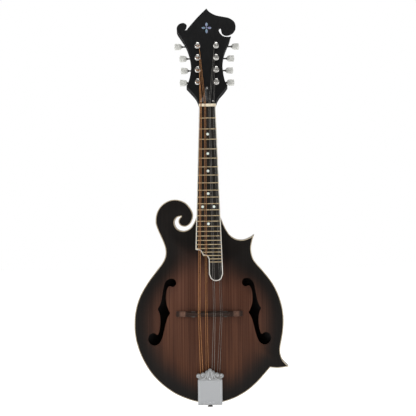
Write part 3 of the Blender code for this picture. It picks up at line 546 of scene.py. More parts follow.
# %% [markdown]
# **Metals.** Nickel plate is bright, faintly warm, and clouded by handling. Plain strings are drawn steel. The
# wound strings are phosphor bronze: the winding is far too fine to model turn by turn, so it is a bump that
# follows the attribute `along`, the distance along the string in millimetres. Frets are a yellow alloy.


# %% Metals
def metal(name, dull, bright, rough):
    place_at, use = finish(name, Metallic=1.0)
    cloud = place_at.noise(90, 5, 0.6)
    scratch = place_at.noise((1080, 1080, 180), 3)
    return use(
        Base_Color=(cloud * 0.8 + scratch * 0.3).step(0.3, 0.85).mix(dull, bright),
        Roughness=cloud * 0.14 + scratch * 0.06 + rough,
        Normal=scratch.bump(0.02, 0.0002),
    )


nickel = metal("nickel_plate", (0.40, 0.39, 0.37), (0.66, 0.65, 0.62), 0.10)
steel = metal("plain_steel", (0.33, 0.33, 0.33), (0.50, 0.50, 0.49), 0.25)
fret_wire = metal("fret_wire", (0.50, 0.38, 0.22), (0.72, 0.58, 0.36), 0.18)
string_steel = metal("string_steel", (0.22, 0.21, 0.195), (0.36, 0.345, 0.32), 0.26)
# A near-black metal: on the tuners' shafts and worms its darkness is painted shade over what is nickel.
dark_metal_and_painted_shade = metal("dark_metal_and_painted_shade", (0.045, 0.042, 0.038), (0.11, 0.10, 0.09), 0.24)

place_at, use = finish("wound_bronze", Metallic=1.0)
winding_pitch = 0.28  # drawn coarser than the real winding, which would only shimmer
winding = place_at.math("SINE", place_at.attribute("along") * (math.tau / winding_pitch)) * 0.5 + 0.5
tarnish = place_at.noise(70, 3)
wound_bronze = use(
    Base_Color=(winding * 0.5 + tarnish * 0.6).step(0.2, 0.9).mix((0.26, 0.108, 0.040), (0.56, 0.285, 0.125)),
    Roughness=tarnish * 0.15 + 0.26,
    Normal=winding.bump(0.5, 0.0002),
)
print(len(bpy.data.materials), "materials so far")

# %% [markdown]
# ## The instrument's own directions
# Only the body is square to the world. The neck tips back a little, the headstock tips back more, and the
# strings come down to the tailpiece at another angle. So each has its own directions, and a piece drawn in
# them is turned into place once it is finished.

# %% Neck, headstock and tailpiece directions
scale_length = 352.0  # nut to bridge
neck_pitch, headstock_pitch = math.radians(5.5), math.radians(20.5)
string_over_bridge = 3.5  # over the line of the fretboard
bridge_z = -scale_length * math.cos(neck_pitch) + string_over_bridge * math.sin(neck_pitch)
string_rest_y = -scale_length * math.sin(neck_pitch) - string_over_bridge * math.cos(neck_pitch)
hook_z, hook_y = -478.0, -16.2
tail_pitch = math.atan2(hook_y - string_rest_y, bridge_z - hook_z)


def directions(across, along, out, origin=(0, 0, 0)):
    """A matrix from a piece's own millimetre directions, as metres, to the world."""
    columns = Matrix((across, along, out)).transposed().to_4x4()
    columns.translation = Vector(origin) * MM
    return columns


BODY = directions((1, 0, 0), (0, 0, 1), (0, 1, 0))  # across, up, back
NECK = directions(
    (1, 0, 0), (0, -math.sin(neck_pitch), -math.cos(neck_pitch)), (0, -math.cos(neck_pitch), math.sin(neck_pitch))
)  # across, down the neck, out of the fretboard
HEAD = directions(
    (1, 0, 0),
    (0, math.sin(headstock_pitch), math.cos(headstock_pitch)),
    (0, math.cos(headstock_pitch), -math.sin(headstock_pitch)),
    (0, 2.5, 0),
)  # across, up the headstock, back from its face
TAIL = directions(
    (1, 0, 0),
    (0, -math.sin(tail_pitch), math.cos(tail_pitch)),
    (0, -math.cos(tail_pitch), -math.sin(tail_pitch)),
    (0, hook_y, hook_z),
)  # across, from the hooks towards the bridge, out from the body
print("strings fall to the tailpiece at", round(math.degrees(tail_pitch), 2), "degrees")


def at(matrix, x, y, z):
    """A place in a piece's own directions, as world millimetres."""
    return (matrix @ (Vector((x, y, z)) * MM)) / MM


def shifted(matrix, x, y, z):
    return matrix @ Matrix.Translation(Vector((x, y, z)) * MM)


# %% [markdown]
# ** Pressed cover.** The tailpiece's cover is a satin nickel pressing. Its colour follows the height over the
# plate, the distance along the tailpiece's own outward direction: the raised lines are lighter than the plate,
# and the plate is darker still towards the crown and the lower end.

# %% Metal of the pressed cover
place_at, use = finish("pressed_nickel", Metallic=1.0)


def tail_measure(way):
    """How far a place lies along one of the tailpiece's directions, in millimetres."""
    way = TAIL.to_3x3() @ Vector(way)
    dot = place_at.node("VectorMath", {"operation": "DOT_PRODUCT"}, {0: place_at, 1: tuple(way)}, output=1)
    return (dot - way.dot(TAIL.translation)) * 1000


lift, along = tail_measure((0, 0, 1)), tail_measure((0, 1, 0))
cloud, scratch = place_at.noise(60, 4), place_at.noise((900, 900, 120), 3)
raised_metal = (cloud * 0.8 + scratch * 0.3).step(0.3, 0.85).mix((0.40, 0.41, 0.42), (0.50, 0.51, 0.52))
darker_ends = (along.step(16.6, 18.4) + (1 - along.step(-25.2, -24.2))) * (cloud * 0.9 + 0.4)
hollow = darker_ends.mix((0.325, 0.332, 0.340), (0.165, 0.164, 0.160))
cover_metal = use(
    Base_Color=lift.step(3.56, 3.86).mix(hollow, raised_metal),
    Roughness=cloud * 0.10 + 0.30,
    Normal=scratch.bump(0.02, 0.0002),
)


# %% [markdown]
# ## Outlines
# The body, the f-holes and the headstock are drawn as a few smooth runs that meet at corners, each through
# points a hand's breadth or less apart. A Catmull-Rom curve passes through every point that it is given, so
# what is drawn is what is cut.

# %% Drawing outlines
BODY_RUNS = (
    ((-20.8, -188), (-24.4, -196.9), (-31.5, -206.4), (-42.5, -210.7), (-53.4, -206.6),
     (-57.8, -196.1), (-53.6, -188), (-45.8, -185.8)),
    ((-45.8, -185.8), (-49.8, -190.2), (-50.6, -196.3), (-46.4, -201.8), (-38.6, -203.2),
     (-31.4, -198.8), (-27.2, -190.6), (-26.3, -182), (-30.6, -172.3), (-38.4, -163.3),
     (-49.1, -158.3), (-61, -157.7), (-72.3, -161.7), (-81.4, -169.4), (-87.3, -179.8),
     (-89.4, -191.5), (-87.7, -203.4), (-76.1, -231), (-73, -244), (-74, -254.4),
     (-79.2, -265.1), (-90.3, -279.3), (-104.6, -298.6), (-116.6, -319.3), (-124.2, -341.9),
     (-126.9, -365.8), (-125.4, -389.7), (-119.3, -412.8), (-109.4, -434.6), (-96.1, -454.5),
     (-79.2, -471.5), (-59.7, -485.4), (-37.8, -495.2), (-19, -500.4), (0, -502),
     (19, -500.7), (40, -494.4), (61.1, -483), (79.5, -467.8), (95.7, -450.1), (102, -442.8)),
    ((102, -442.8), (116.1, -443.9), (133.5, -441.5)),
    ((133.5, -441.5), (124.7, -432.3), (119.9, -421.5), (119.4, -409.5), (123.6, -385.9),
     (125.5, -365), (123.9, -344.2), (117.6, -321.1), (107, -299.6), (92.6, -280.5),
     (80.7, -267), (74.4, -256.9), (71.5, -242), (73.8, -227.5), (77.2, -217.6)),
    ((77.2, -217.6), (70.8, -222.1), (59.6, -226.3), (47.8, -225.4), (37.5, -219.5),
     (30.4, -209.9), (25.1, -199.2), (20.8, -188)),
)
F_HOLE_RUNS = (
    ((66.1, -348.7), (69.7, -341), (72.4, -332), (73.2, -322), (71.6, -310.5),
     (67.6, -303.6), (60.5, -304.9), (55.6, -299.8), (57.4, -293), (64, -290.8),
     (71.5, -294), (76.2, -302.3), (79.2, -318), (82, -331.5), (87.3, -342)),
    ((87.3, -342), (83.6, -352), (82.9, -366), (84.8, -379), (87.9, -385.2),
     (94.5, -382.4), (101.6, -385.8), (103.9, -393.5), (100, -401), (92, -403.6),
     (84, -398.5), (78.6, -386), (74.6, -370), (71.2, -358), (66.1, -348.7)),
)
HEADSTOCK_RUNS = (
    ((-14.5, 5.6), (-16.6, 12.6), (-20.2, 20), (-27.6, 29.4), (-35.4, 38.6)),
    ((-35.4, 38.6), (-32.4, 45), (-29.2, 56.7), (-27.3, 73.6), (-28.3, 90),
     (-31.5, 104.8), (-36.7, 119.1), (-44.6, 132.9), (-50.6, 143.3), (-51.5, 151.1),
     (-47.3, 157.6), (-39.9, 159.6), (-34.6, 155.6), (-35.6, 148.4), (-39.6, 145.6)),
    ((-39.6, 145.6), (-34.8, 145.8)),
    ((-34.8, 145.8), (-17.7, 167.9), (0, 187.5)),
    ((0, 187.5), (6, 180.2), (16.3, 174.1), (27.9, 171.2), (39.4, 168.2), (48.4, 160.6),
     (50.3, 149.1), (45.1, 138.6), (34.6, 134.3), (27, 138.2), (24.6, 148.6)),
    ((24.6, 148.6), (21.3, 146), (22.8, 139.9), (29, 133.4), (36.2, 132), (42.6, 132.6)),
    ((42.6, 132.6), (38.2, 123.3), (32.8, 110.5), (28.8, 97), (26.8, 80.1), (27.9, 62.6),
     (30.9, 47.1), (35, 39.6)),
    ((35, 39.6), (28.6, 30.1), (21.1, 20.8), (17.1, 13.8), (14.5, 5.6)),
)


def smooth(points, step):
    """Points about a step apart on a curve through these."""
    if len(points) == 2:
        return list(points)
    held, out = [points[0], *points, points[-1]], []
    for a, b, c, d in zip(held, held[1:], held[2:], held[3:]):
        pieces = max(1, round(math.dist(b, c) / step))
        for k in range(pieces):
            t = k / pieces
            out.append(
                tuple(
                    0.5 * (2 * q + (r - p) * t + (2 * p - 5 * q + 4 * r - s) * t**2 + (3 * q - p - 3 * r + s) * t**3)
                    for p, q, r, s in zip(a, b, c, d)
                )
            )
    return [*out, tuple(points[-1])]


def joined(runs, step):
    out = []
    for run in runs:
        out += smooth(run, step)[1 if out else 0:]
    return out


def mirrored(points):
    return [(-x, y) for x, y in reversed(points)]


body_top, grain = -188.0, 1.8  # where the body meets the neck's heel, and the spacing of drawn points
body_edge = joined(BODY_RUNS, grain)
body_edge[0], body_edge[-1] = (body_edge[0][0], body_top), (body_edge[-1][0], body_top)
body_edge = [(min(max(x, -126.88), 133.48), z) for x, z in body_edge]  # the curve may not swell past the solid
dense = joined(BODY_RUNS, 0.4)
edge_tree = KDTree(len(dense))
for k, (x, z) in enumerate(dense):
    edge_tree.insert((x, z, 0), k)
edge_tree.balance()


def inward(by):
    """The body's edge moved in, without the points that a narrow place would fold over."""
    moved = []
    for i, b in enumerate(body_edge):
        a, c = body_edge[max(i - 1, 0)], body_edge[min(i + 1, len(body_edge) - 1)]
        before = (Vector(b) - Vector(a)).normalized() if i else (Vector(c) - Vector(b)).normalized()
        after = (Vector(c) - Vector(b)).normalized() if i < len(body_edge) - 1 else before
        sides = [Vector((-way.y, way.x)) for way in (before, after)]
        turn = before.cross(after)
        if turn < 0 and before.dot(after) < 0.5:
            moves = (sides[0], (sides[0] + sides[1]).normalized(), sides[1])
        else:
            moves = ((sides[0] + sides[1]) / (1 + before.dot(after)),)
        moved += [(b[0] + by * m.x, b[1] + by * m.y) for m in moves]
    kept = [p for p in moved if edge_tree.find((*p, 0))[2] > 0.95 * by]
    kept = [p for p in kept if p[1] < body_top - 2 or p[0] < body_edge[0][0] - 3]
    return [(body_edge[0][0] + by, body_top), *kept, (body_edge[-1][0] - by, body_top)]


print("body outline", len(body_edge), "points; inner edge of the binding", len(inward(1.5)))

# %% [markdown]
# ## The carved plates
# The top and back are carved from thick boards into gentle arches. Level at the edge, an arch rises smoothly
# as it goes in, and reaches its height ninety-five millimetres from the edge. The start is a fine grid, laid
# flat; each vertex is raised by its distance from the body's edge, the surface is smoothed to fade the crease
# where two slopes meet, Solidify gives it thickness and a Boolean cuts it to the outline. The f-holes are
# cut last.

# %% The arches and the cutting templates
rim_front, rim_back, plate_thickness = -7.2, 35.8, 4.0
top_arch, back_arch, arch_reach = 14.0, 15.0, 95.0


def within(point, outline):
    x, y = point
    hit = False
    for (ax, ay), (bx, by) in zip(outline, outline[1:] + outline[:1]):
        if (ay > y) != (by > y) and x < (bx - ax) * (y - ay) / (by - ay) + ax:
            hit = not hit
    return hit


def from_edge_at(x, z):
    return edge_tree.find((x, z, 0))[2]


def rise(x, z):
    reach = 0.0 if z > body_top and abs(x) < 20 else min(1.0, from_edge_at(x, z) / arch_reach)
    return reach * reach * (3 - 2 * reach)


def top_y(x, z):
    return rim_front - top_arch * rise(x, z)


def arched_plate(name, outline, level, height, thickness):
    """A grid raised to the arch, given its thickness and cut to the outline."""
    alone()
    columns, rows, left, low, wide, tall = 108, 144, -134.0, -506.0, 272.0, 360.0
    bpy.ops.mesh.primitive_grid_add(x_subdivisions=columns, y_subdivisions=rows, size=MM)
    obj = started(name)
    for k, vertex in enumerate(obj.data.vertices):
        x = left + wide * (k % (columns + 1)) / columns
        z = low + tall * (k // (columns + 1)) / rows
        arch = height * rise(x, z) if within((x, z), body_edge) else 0.0
        vertex.co = (x * MM, (level + arch) * MM, z * MM)
    edit(obj, whole=True)
    bpy.ops.mesh.vertices_smooth(factor=0.5, repeat=10, xaxis=False, yaxis=True, zaxis=False)
    bpy.ops.mesh.normals_make_consistent(inside=False)
    alone(obj)
    apply(obj, "SOLIDIFY", thickness=abs(thickness) * MM, offset=-1.0 if thickness > 0 else 1.0, use_rim=True)
    outward(obj)
    carve(obj, "INTERSECT", place(slab("template", outline, -60, 80), BODY))
    return obj


def measure_edge(obj):
    """Write each vertex's distance from the body's edge, for the sunburst."""
    values = obj.data.attributes.new("from_edge", "FLOAT", "POINT")
    for k, vertex in enumerate(obj.data.vertices):
        values.data[k].value = from_edge_at(vertex.co.x / MM, vertex.co.z / MM)
    return obj


# %% Top with its two f-holes
plate_edge = inward(1.45)
f_hole = joined(F_HOLE_RUNS, 1.4)[:-1]
soundboard = arched_plate("top", plate_edge, rim_front + 0.12, -top_arch, plate_thickness)
for hole in (f_hole, mirrored(f_hole)):
    carve(soundboard, "DIFFERENCE", place(slab("f_hole_tool", hole, -40, 20), BODY))
shade(soundboard, 32)
belongs(measure_edge(soundboard), "instrument", "top_finish", sunburst_spruce, "soundboard")
print("top", len(soundboard.data.polygons), "faces")

# %% Back with the tab that covers the heel's end
heel_cap, heel_cap_half = 12.0, 13.5
tab = [
    (heel_cap_half * math.cos(math.pi * k / 24), body_top + heel_cap * math.sin(math.pi * k / 24)) for k in range(25)
]
back = arched_plate("back", [*plate_edge, *tab], rim_back - 0.12, back_arch, -plate_thickness)
print("back", len(back.data.polygons), "faces")
shade(back, 32)
belongs(measure_edge(back), "instrument", "body_finish", sunburst_maple, "back_plate")
back.data.materials.append(inside_painted_shade)
for face in back.data.polygons:  # painted shade: the inner face, which only shows through the f-holes, is given a near-black colour
    if face.normal.y < -0.3 and face.center.y > (rim_back - plate_thickness - 0.3) * MM:
        face.material_index = 1

# %% [markdown]
# ## Sides and bindings
# The sides are thin maple bent round the outline, with the solid scroll behind them. A strip of cream binding
# is let in round the front and the back. Each is the band between the body's edge and the same edge moved
# inwards, extruded. The bindings stand a hair proud of the plates, as they do once scraped by hand.


# %% Bent sides and bindings
def band(name, width, low, high):
    return place(slab(name, [*body_edge, *inward(width)[::-1]], low, high), BODY)


sides = shade(band("sides", 2.2, rim_front + plate_thickness, rim_back - plate_thickness))
belongs(sides, "instrument", "body_finish", dark_maple, "rim")
for name, low, high in (
    ("top_binding", rim_front, rim_front + plate_thickness),
    ("back_binding", rim_back - plate_thickness, rim_back),
):
    strip = soften(band(name + "_strip", 1.5, low, high), 0.3, 2, 50)
    belongs(strip, "instrument", "binding", cream, name)
    print(name, len(strip.data.polygons), "faces")

# %% Inside the body
for name in ("neck_block", "tail_block", "upper_point_block", "lower_point_block", "top_lining", "back_lining"):
    dressed(name, mahogany, "inner_wood", 0)
for name in ("tone_bar_bass", "tone_bar_treble"):
    dressed(name, spruce, "tone_bar_spruce", 0.6)

# %% [markdown]
# ## Neck and headstock
# The neck is one length of maple, rounded behind and flat in front, that swells into the heel and ends in the
# headstock. Rings are drawn along it: each is flat in front and half of a rounded ellipse behind. Between the
# drawn stations the sizes follow a smooth curve, so no kink shows along the back. The headstock is a slab cut
# to its scrolled outline, tipped back, and joined to the neck; its black face is a separate sheet of veneer.

# %% Neck
nut_half, board_taper, board_thickness, glue = 14.3, 0.065, 5.0, 0.1
inside_back = rim_back - plate_thickness - glue


def neck_face(z):
    """y of the wood where the fretboard is glued."""
    return z * math.tan(neck_pitch) + (board_thickness + glue) / math.cos(neck_pitch)


def neck_half(z):
    return nut_half + 0.5 * board_taper * max(0.0, -z) - 0.2


def to_back(z):
    return inside_back - neck_face(z)


heel_end = body_top + glue
STATIONS = (  # z, depth of wood, fullness of the round (less is squarer)
    (-2.0, 15.6, 0.80), (-20.0, 15.0, 0.80), (-50.0, 15.4, 0.80), (-80.0, 16.2, 0.80), (-110.0, 16.9, 0.80),
    (-140.0, 17.5, 0.80), (-158.0, 19.6, 0.80), (-166.0, 25.0, 0.80), (-172.0, 33.2, 0.78),
    (-175.6, to_back(-175.6) - 2.0, 0.76), (-178.0, to_back(-178.0), 0.74), (heel_end, to_back(heel_end), 0.70),
)
around = 30


def neck_ring(z, top, depth, half, fullness):
    """Flat in front, half of a rounded ellipse behind."""
    ring = [(half * (k / 3 - 1), top, z) for k in range(6)]
    ring.append((half, top, z))
    for k in range(1, around):
        c, s = math.cos(math.pi * k / around), math.sin(math.pi * k / around)
        ring.append((half * math.copysign(abs(c) ** fullness, c), top + depth * abs(s) ** fullness, z))
    return ring


UNDER_HEAD = ((16.0, 12.2, 9.4, 11.0, 0.8), (8.0, 9.0, 12.6, 13.4, 0.8), (3.6, 7.1, 15.2, 14.1, 0.8))
rings = [neck_ring(*ring) for ring in UNDER_HEAD]
rings += [neck_ring(z, neck_face(z), depth, neck_half(z), round_) for z, depth, round_ in smooth(STATIONS, 3.0)]
neck = sweep("neck_wood", rings)
face_depth, head_thickness, veneer = 1.9, 15.0, 1.8
headstock_edge = joined(HEADSTOCK_RUNS, 1.6)


def slant(x, up):
    """1 round the two scrolls' slots, 0 elsewhere: how much an edge climbs as it goes back."""
    if x > 44:
        return min(1.0, max(0.0, (160 - up) / 20))
    if x > 0:
        return min(1.0, max(0.0, (up - 124) / 8)) if up < 152 else 0.0
    if up < 144 or x < -46:
        return 0.0
    if x > -33.9:
        return min(1.0, max(0.0, (-22 - x) / 12))
    return 1.0 if up < 150 and x > -43 else min(1.0, max(0.0, (x + 46) / 10))


headstock = slab("headstock", headstock_edge, face_depth, head_thickness)
for vertex in headstock.data.vertices:
    if vertex.co.z > 0.5 * head_thickness * MM:
        vertex.co.y += 0.5 * head_thickness * slant(vertex.co.x / MM, vertex.co.y / MM) * MM
soften(headstock, 0.7, 2, 50)
carve(neck, "UNION", place(headstock, HEAD))
first_post, post_pitch, post_spread, post_hole = 46.0, 23.0, 16.0, 3.35


def circle(x, y, radius, sides=24):
    angles = [math.tau * k / sides for k in range(sides)]
    return [(x + radius * math.cos(a), y + radius * math.sin(a)) for a in angles]


def drill():
    """Eight bits for the posts' holes."""
    places = [(side * post_spread, first_post + post_pitch * k) for side in (-1, 1) for k in range(4)]
    return place(weld("drill", *(slab("bit", circle(x, up, post_hole), -4, 20) for x, up in places)), HEAD)


carve(neck, "DIFFERENCE", drill())
rod_pocket = place(slab("pocket", [(-4.2, -25), (4.2, -25), (4.2, -7.1), (-4.2, -7.1)], -16.1, 2), NECK)
face = soften(slab("headstock_face", headstock_edge, 0.0, veneer), 0.35, 2, 50)
place(face, HEAD)
carve(face, "DIFFERENCE", drill(), copy(rod_pocket, "pocket_again"))
carve(neck, "DIFFERENCE", rod_pocket)
belongs(shade(neck, 32), "instrument", "neck_finish", neck_maple, "neck")
belongs(shade(face), "instrument", "headstock_black", black_lacquer, "headstock_veneer")
print("neck", len(neck.data.polygons), "faces, face", len(face.data.polygons))
dressed("truss_rod", steel, "steel", 0.2)
dressed("truss_rod_nut", nickel, "nickel", 0.4)

# %% [markdown]
# ## Truss-rod cover and its screws
# A bell-shaped plastic plate hides the rod's adjusting nut. Three small screws hold it. A screw head is a
# turning with a slot cut across it, made once and copied wherever a screw goes.

# %% Cover and a screw to copy
BELL = ((-13.0, 7.0), (-12.6, 11.0), (-10.2, 14.8), (-7.0, 18.0), (-5.3, 23.0), (-4.5, 28.0), (-3.6, 33.5), (0.0, 38.0))
bell = smooth(BELL, 1.2)
cover = soften(slab("rod_cover", [*bell, *mirrored(bell)[1:]], -1.6, -0.05), 0.45, 3, 50)
belongs(place(cover, HEAD), "instrument", "black_plastic", black_plastic, "truss_rod_cover")
SCREW = ((0, -0.9), (0.7, -0.85), (1.2, -0.6), (1.45, -0.25), (1.5, 0.0), (0.8, 0.1), (0.8, 2.4), (0, 2.4))
screw = turning("screw", SCREW, 20)
carve(screw, "DIFFERENCE", bar("slot", 2, 0.2, -2, -0.45))
shade(screw, 30)
screw.data.materials.append(nickel)


def drive(name, matrix, x, y, z, turn, size=1.0):
    """A copy of the screw, its head at a place in a piece's own directions."""
    fitted = shifted(matrix, x, y, z) @ Matrix.Rotation(turn, 4, "Z") @ Matrix.Scale(size, 4)
    return belongs(copy(screw, name, fitted), "instrument", "nickel", None)


for label, x, up, turn in (("top", 0, 33.4, 0.4), ("bass", -10.0, 9.6, 1.3), ("treble", 10.0, 9.6, 2.5)):
    drive("cover_screw_" + label, HEAD, x, up, -1.7, turn)

# %% [markdown]
# ## Headstock ornament
# The face carries an inlay of abalone near its tip. Here it is a plain four-petalled flower with a round
# eye, cut as thin slabs and let into the veneer, so that it stands a hair proud and catches the light.

# %% Inlaid flower
petal_edge = smooth(((0.0, 1.6), (1.9, 4.0), (2.1, 6.0), (1.2, 7.8), (0.0, 9.0)), 0.6)
petal_edge = [*petal_edge, *mirrored(petal_edge)[1:-1]]


def inlay(outline, matrix):
    return place(soften(slab("inlay", outline, -0.06, 0.5), 0.04, 1, 50), matrix)


leaves = []
for k in range(4):
    longer = 1.2 if k % 2 == 0 else 0.95
    turned = Matrix.Rotation(k * math.tau / 4, 4, "Z") @ Matrix.Scale(longer, 4, (0, 1, 0))
    leaves.append(inlay(petal_edge, HEAD @ Matrix.Translation((0, 0.1495, 0)) @ turned))
eye = inlay(circle(0, 149.5, 1.15, 20), HEAD)
belongs(weld("headstock_flower", *leaves, eye), "instrument", "pearl", abalone)

# %% [markdown]
# ## Fretboard
# The board is ebony, bound in white, and runs on over the body on the treble side. The solids' shapes are
# right, so merged copies of them are used with their edges eased. What they lack is added: twenty-four frets
# at the places that equal temperament gives, and pearl position dots between them.

# %% Board, binding, riser, nut
dressed("fretboard", ebony, "ebony", 0.1, 1)
dressed("fretboard_binding", white_binding, "binding", 0.18)
dressed("fretboard_riser", dark_maple, "body_finish", 0)
dressed("nut", bone, "bone", 0.3)

# %% Frets
def fret_place(number):
    return scale_length * (1 - 2 ** (-number / 12))


def board_half(s):
    return nut_half + 0.5 * board_taper * s


alone()
bpy.ops.mesh.primitive_cube_add(size=MM)
fret = bpy.context.object
for vertex in fret.data.vertices:  # a millimetre each way across, then drawn out to the board's edges
    x, y, z = vertex.co
    vertex.co = (math.copysign(1, x) * MM, math.copysign(0.62, y) * MM, (0.85 if z > 0 else -0.6) * MM)
edit(fret, "EDGE")
pick(fret, "edges", lambda e: all(v.co.z > 0 for v in e.verts) and abs(e.verts[0].co.x - e.verts[1].co.x) > MM)
bpy.ops.mesh.bevel(offset=0.5 * MM, segments=4, profile=0.5, affect="EDGES")
shade(fret, 60)
SHORT_FRETS = {21: -11.0, 22: -9.4, 23: 1.6, 24: 1.6}  # where the board's stepped end cuts them off
frets = []
for number in range(1, 25):
    s = fret_place(number)
    bass = SHORT_FRETS.get(number, -board_half(s) + 0.35)
    treble = board_half(s) - 0.35
    piece = copy(fret, f"fret_{number}")
    for vertex in piece.data.vertices:
        end, shy = (treble, -1) if vertex.co.x > 0 else (bass, 1)
        lean = 0.35 if vertex.co.z > 0.3 * MM else 0.0
        vertex.co.x = (end + shy * lean) * MM
    frets.append(place(piece, shifted(NECK, 0, s, 0)))
bpy.data.objects.remove(fret)
belongs(weld("frets", *frets), "instrument", "nickel", fret_wire)
print(len(frets), "frets, the last", round(fret_place(24), 1), "mm from the nut")

# %% Position dots
dots = []
for number in (3, 5, 7, 10, 12, 15):
    s = 0.5 * (fret_place(number - 1) + fret_place(number))
    for x in (-9.6, 9.6) if number == 12 else (0.0,):
        dot = turning("dot", ((0, 0.07), (2.0, 0.06), (2.35, 0.0), (2.35, -1.2), (0, -1.2)), 28)
        dots.append(place(dot, shifted(NECK, x, s, 0)))
belongs(shade(weld("position_dots", *dots), 40), "instrument", "pearl", shell)

# %% [markdown]
# ## Bridge
# The base is a rosewood bar whose two feet follow the arch of the top. The saddle stands on two threaded
# studs, and a knurled wheel under it on each stud raises or lowers it. The base is drawn from the front, foot
# line and all, extruded to its thickness, and its long edges are rounded by a wide bevel.

# %% Bridge base and saddle
BRIDGE = directions((1, 0, 0), (0, -1, 0), (0, 0, 1), (0, 0, bridge_z))  # across, out, up the body
half_base, base_half_thick, saddle_half = 56.0, 4.5, 38.8
saddle_low = -string_rest_y - 0.06 - 6.5
base_top = saddle_low - 0.1 - 1.8 - 1.2
foot = [(x, -top_y(x, bridge_z) - 0.35) for x in (half_base * k / 30 for k in range(-30, 31))]
CREST = (
    (half_base, foot[-1][1] + 2.6), (half_base - 6, base_top - 3.4), (half_base - 13, base_top - 2.9),
    (saddle_half + 2, base_top - 1.0), (30.0, base_top - 0.1), (15.0, base_top - 0.6), (0.0, base_top - 1.4),
)
crest = smooth(CREST, 1.5)
base = slab("bridge_foot", [*foot, *crest, *mirrored(crest[:-1])], -base_half_thick, base_half_thick)
middle_foot = foot[30][1]
between_feet = [(20, -60), (20, middle_foot - 1.4), (14, middle_foot + 0.3)]
between_feet = [(-20, -60), *between_feet, *mirrored(between_feet[1:])]
carve(base, "DIFFERENCE", slab("arch_under", between_feet, -9, 9))
belongs(soften(place(base, BRIDGE), 0.7, 3, 40), "instrument", "rosewood", rosewood, "bridge_base")
dressed("bridge_saddle", rosewood, "rosewood", 0.4, 2, "saddle")
for side in ("bass", "treble"):
    dressed(f"bridge_stud_{side}", steel, "steel", 0.15)

# %% [markdown]
# A thumbwheel's rim is knurled so that fingers can turn it: a gear-like outline, extruded, its faces eased.

# %% Knurled thumbwheels
wheel_radius, wheel_thick = 5.4, 1.8


def toothed(teeth, root, tip, root_share, tip_share):
    """A gear's outline, its teeth as wide as these shares of a tooth's turn at root and tip."""
    edge = []
    for k in range(teeth):
        a = math.tau * k / teeth
        for turn, radius in ((-root_share, root), (-tip_share, tip), (tip_share, tip), (root_share, root)):
            b = a + turn * math.tau / teeth
            edge.append((radius * math.cos(b), radius * math.sin(b)))
    return edge


wheel = slab("wheel", toothed(32, wheel_radius - 0.35, wheel_radius, 0.30, 0.14), 0, wheel_thick)
carve(wheel, "DIFFERENCE", slab("bore", circle(0, 0, 1.75, 20), -1, 3))
shade(wheel, 30)
WHEEL = directions((1, 0, 0), (0, 0, 1), (0, -1, 0), (0, 0, bridge_z))
for side, name in ((-1, "thumbwheel_bass"), (1, "thumbwheel_treble")):
    twin = copy(wheel, name + "_knurled", shifted(WHEEL, side * 27.0, 0, saddle_low - 0.1 - wheel_thick))
    belongs(twin, name, "nickel", dark_metal_and_painted_shade, name)
bpy.data.objects.remove(wheel)

# %% [markdown]
# ## Tailpiece
# The base plate and its hooks hold the strings; a pressed cover slides over it. The cover is a thin plate
# with folded sides and a scrolled crown. Pressing gives it relief: a bead inside its border, a fan of lobes
# in the crown and a volute at each side. The beads are thin sweeps of half-round section laid on the plate,
# and the lobes are turnings squashed flat.

# %% Cover plate
cover_half, cover_low, side_end, cover_in, cover_out = 20.5, -25.9, 17.0, 2.8, 3.8
crown = (
    ((-cover_half, cover_low), (-cover_half, side_end)),
    ((-cover_half, side_end), (-19.2, 20.0)),
    ((-19.2, 20.0), (-22.6, 22.4), (-22.9, 26.2), (-20.4, 28.8), (-16.9, 28.4), (-15.6, 27.6)),
    ((-15.6, 27.6), (-13.6, 30.2), (-10.6, 30.6), (-8.6, 29.6)),
    ((-8.6, 29.6), (-7.6, 32.6), (-5.4, 34.2), (-3.6, 33.6)),
    ((-3.6, 33.6), (-2.8, 36.4), (0.0, 37.7)),
)
left = joined(crown, 0.8)
cover_edge = [*left, *mirrored(left)[1:]]
cover = soften(slab("cover", cover_edge, cover_in, cover_out - 0.25), 0.22, 2, 45)
for side in (-1, 1):
    near, far = sorted((side * cover_half, side * (cover_half - 1.0)))
    start, stop = cover_low + 0.2, side_end - 0.2
    fold = slab("fold", [(near, start), (far, start), (far, stop), (near, stop)], -3.2, cover_in + 0.3)
    cover = weld("cover", cover, soften(fold, 0.2, 2, 45))


bead_floor = cover_out - 0.3


def bead(points, width, height, closed=False, taper=False):
    """A half-round bead along points on the plate."""
    rings, count = [], len(points)
    for i, (x, y) in enumerate(points):
        a = points[(i - 1) % count] if closed or i else points[0]
        b = points[(i + 1) % count] if closed or i < count - 1 else points[-1]
        way = (Vector(b) - Vector(a)).normalized()
        share = math.sin(math.pi * (0.06 + 0.88 * i / (count - 1))) ** 0.5 if taper else 1.0
        ring = []
        for k in range(10):
            c, s = math.cos(math.tau * k / 10), math.sin(math.tau * k / 10)
            out = (x - way.y * 0.5 * width * share * c, y + way.x * 0.5 * width * share * c)
            ring.append((*out, bead_floor + height * share * s))
        rings.append(ring)
    if closed:
        rings.append(rings[0])
    return shade(sweep("bead", rings, ends=not closed), 80)


def spiral(x, y, start, turns, outer, inner, side, steps=34):
    out = []
    for k in range(steps + 1):
        t = k / steps
        angle, radius = start + side * turns * math.tau * t, outer + (inner - outer) * t
        out.append((x + radius * math.cos(angle), y + radius * math.sin(angle)))
    return out


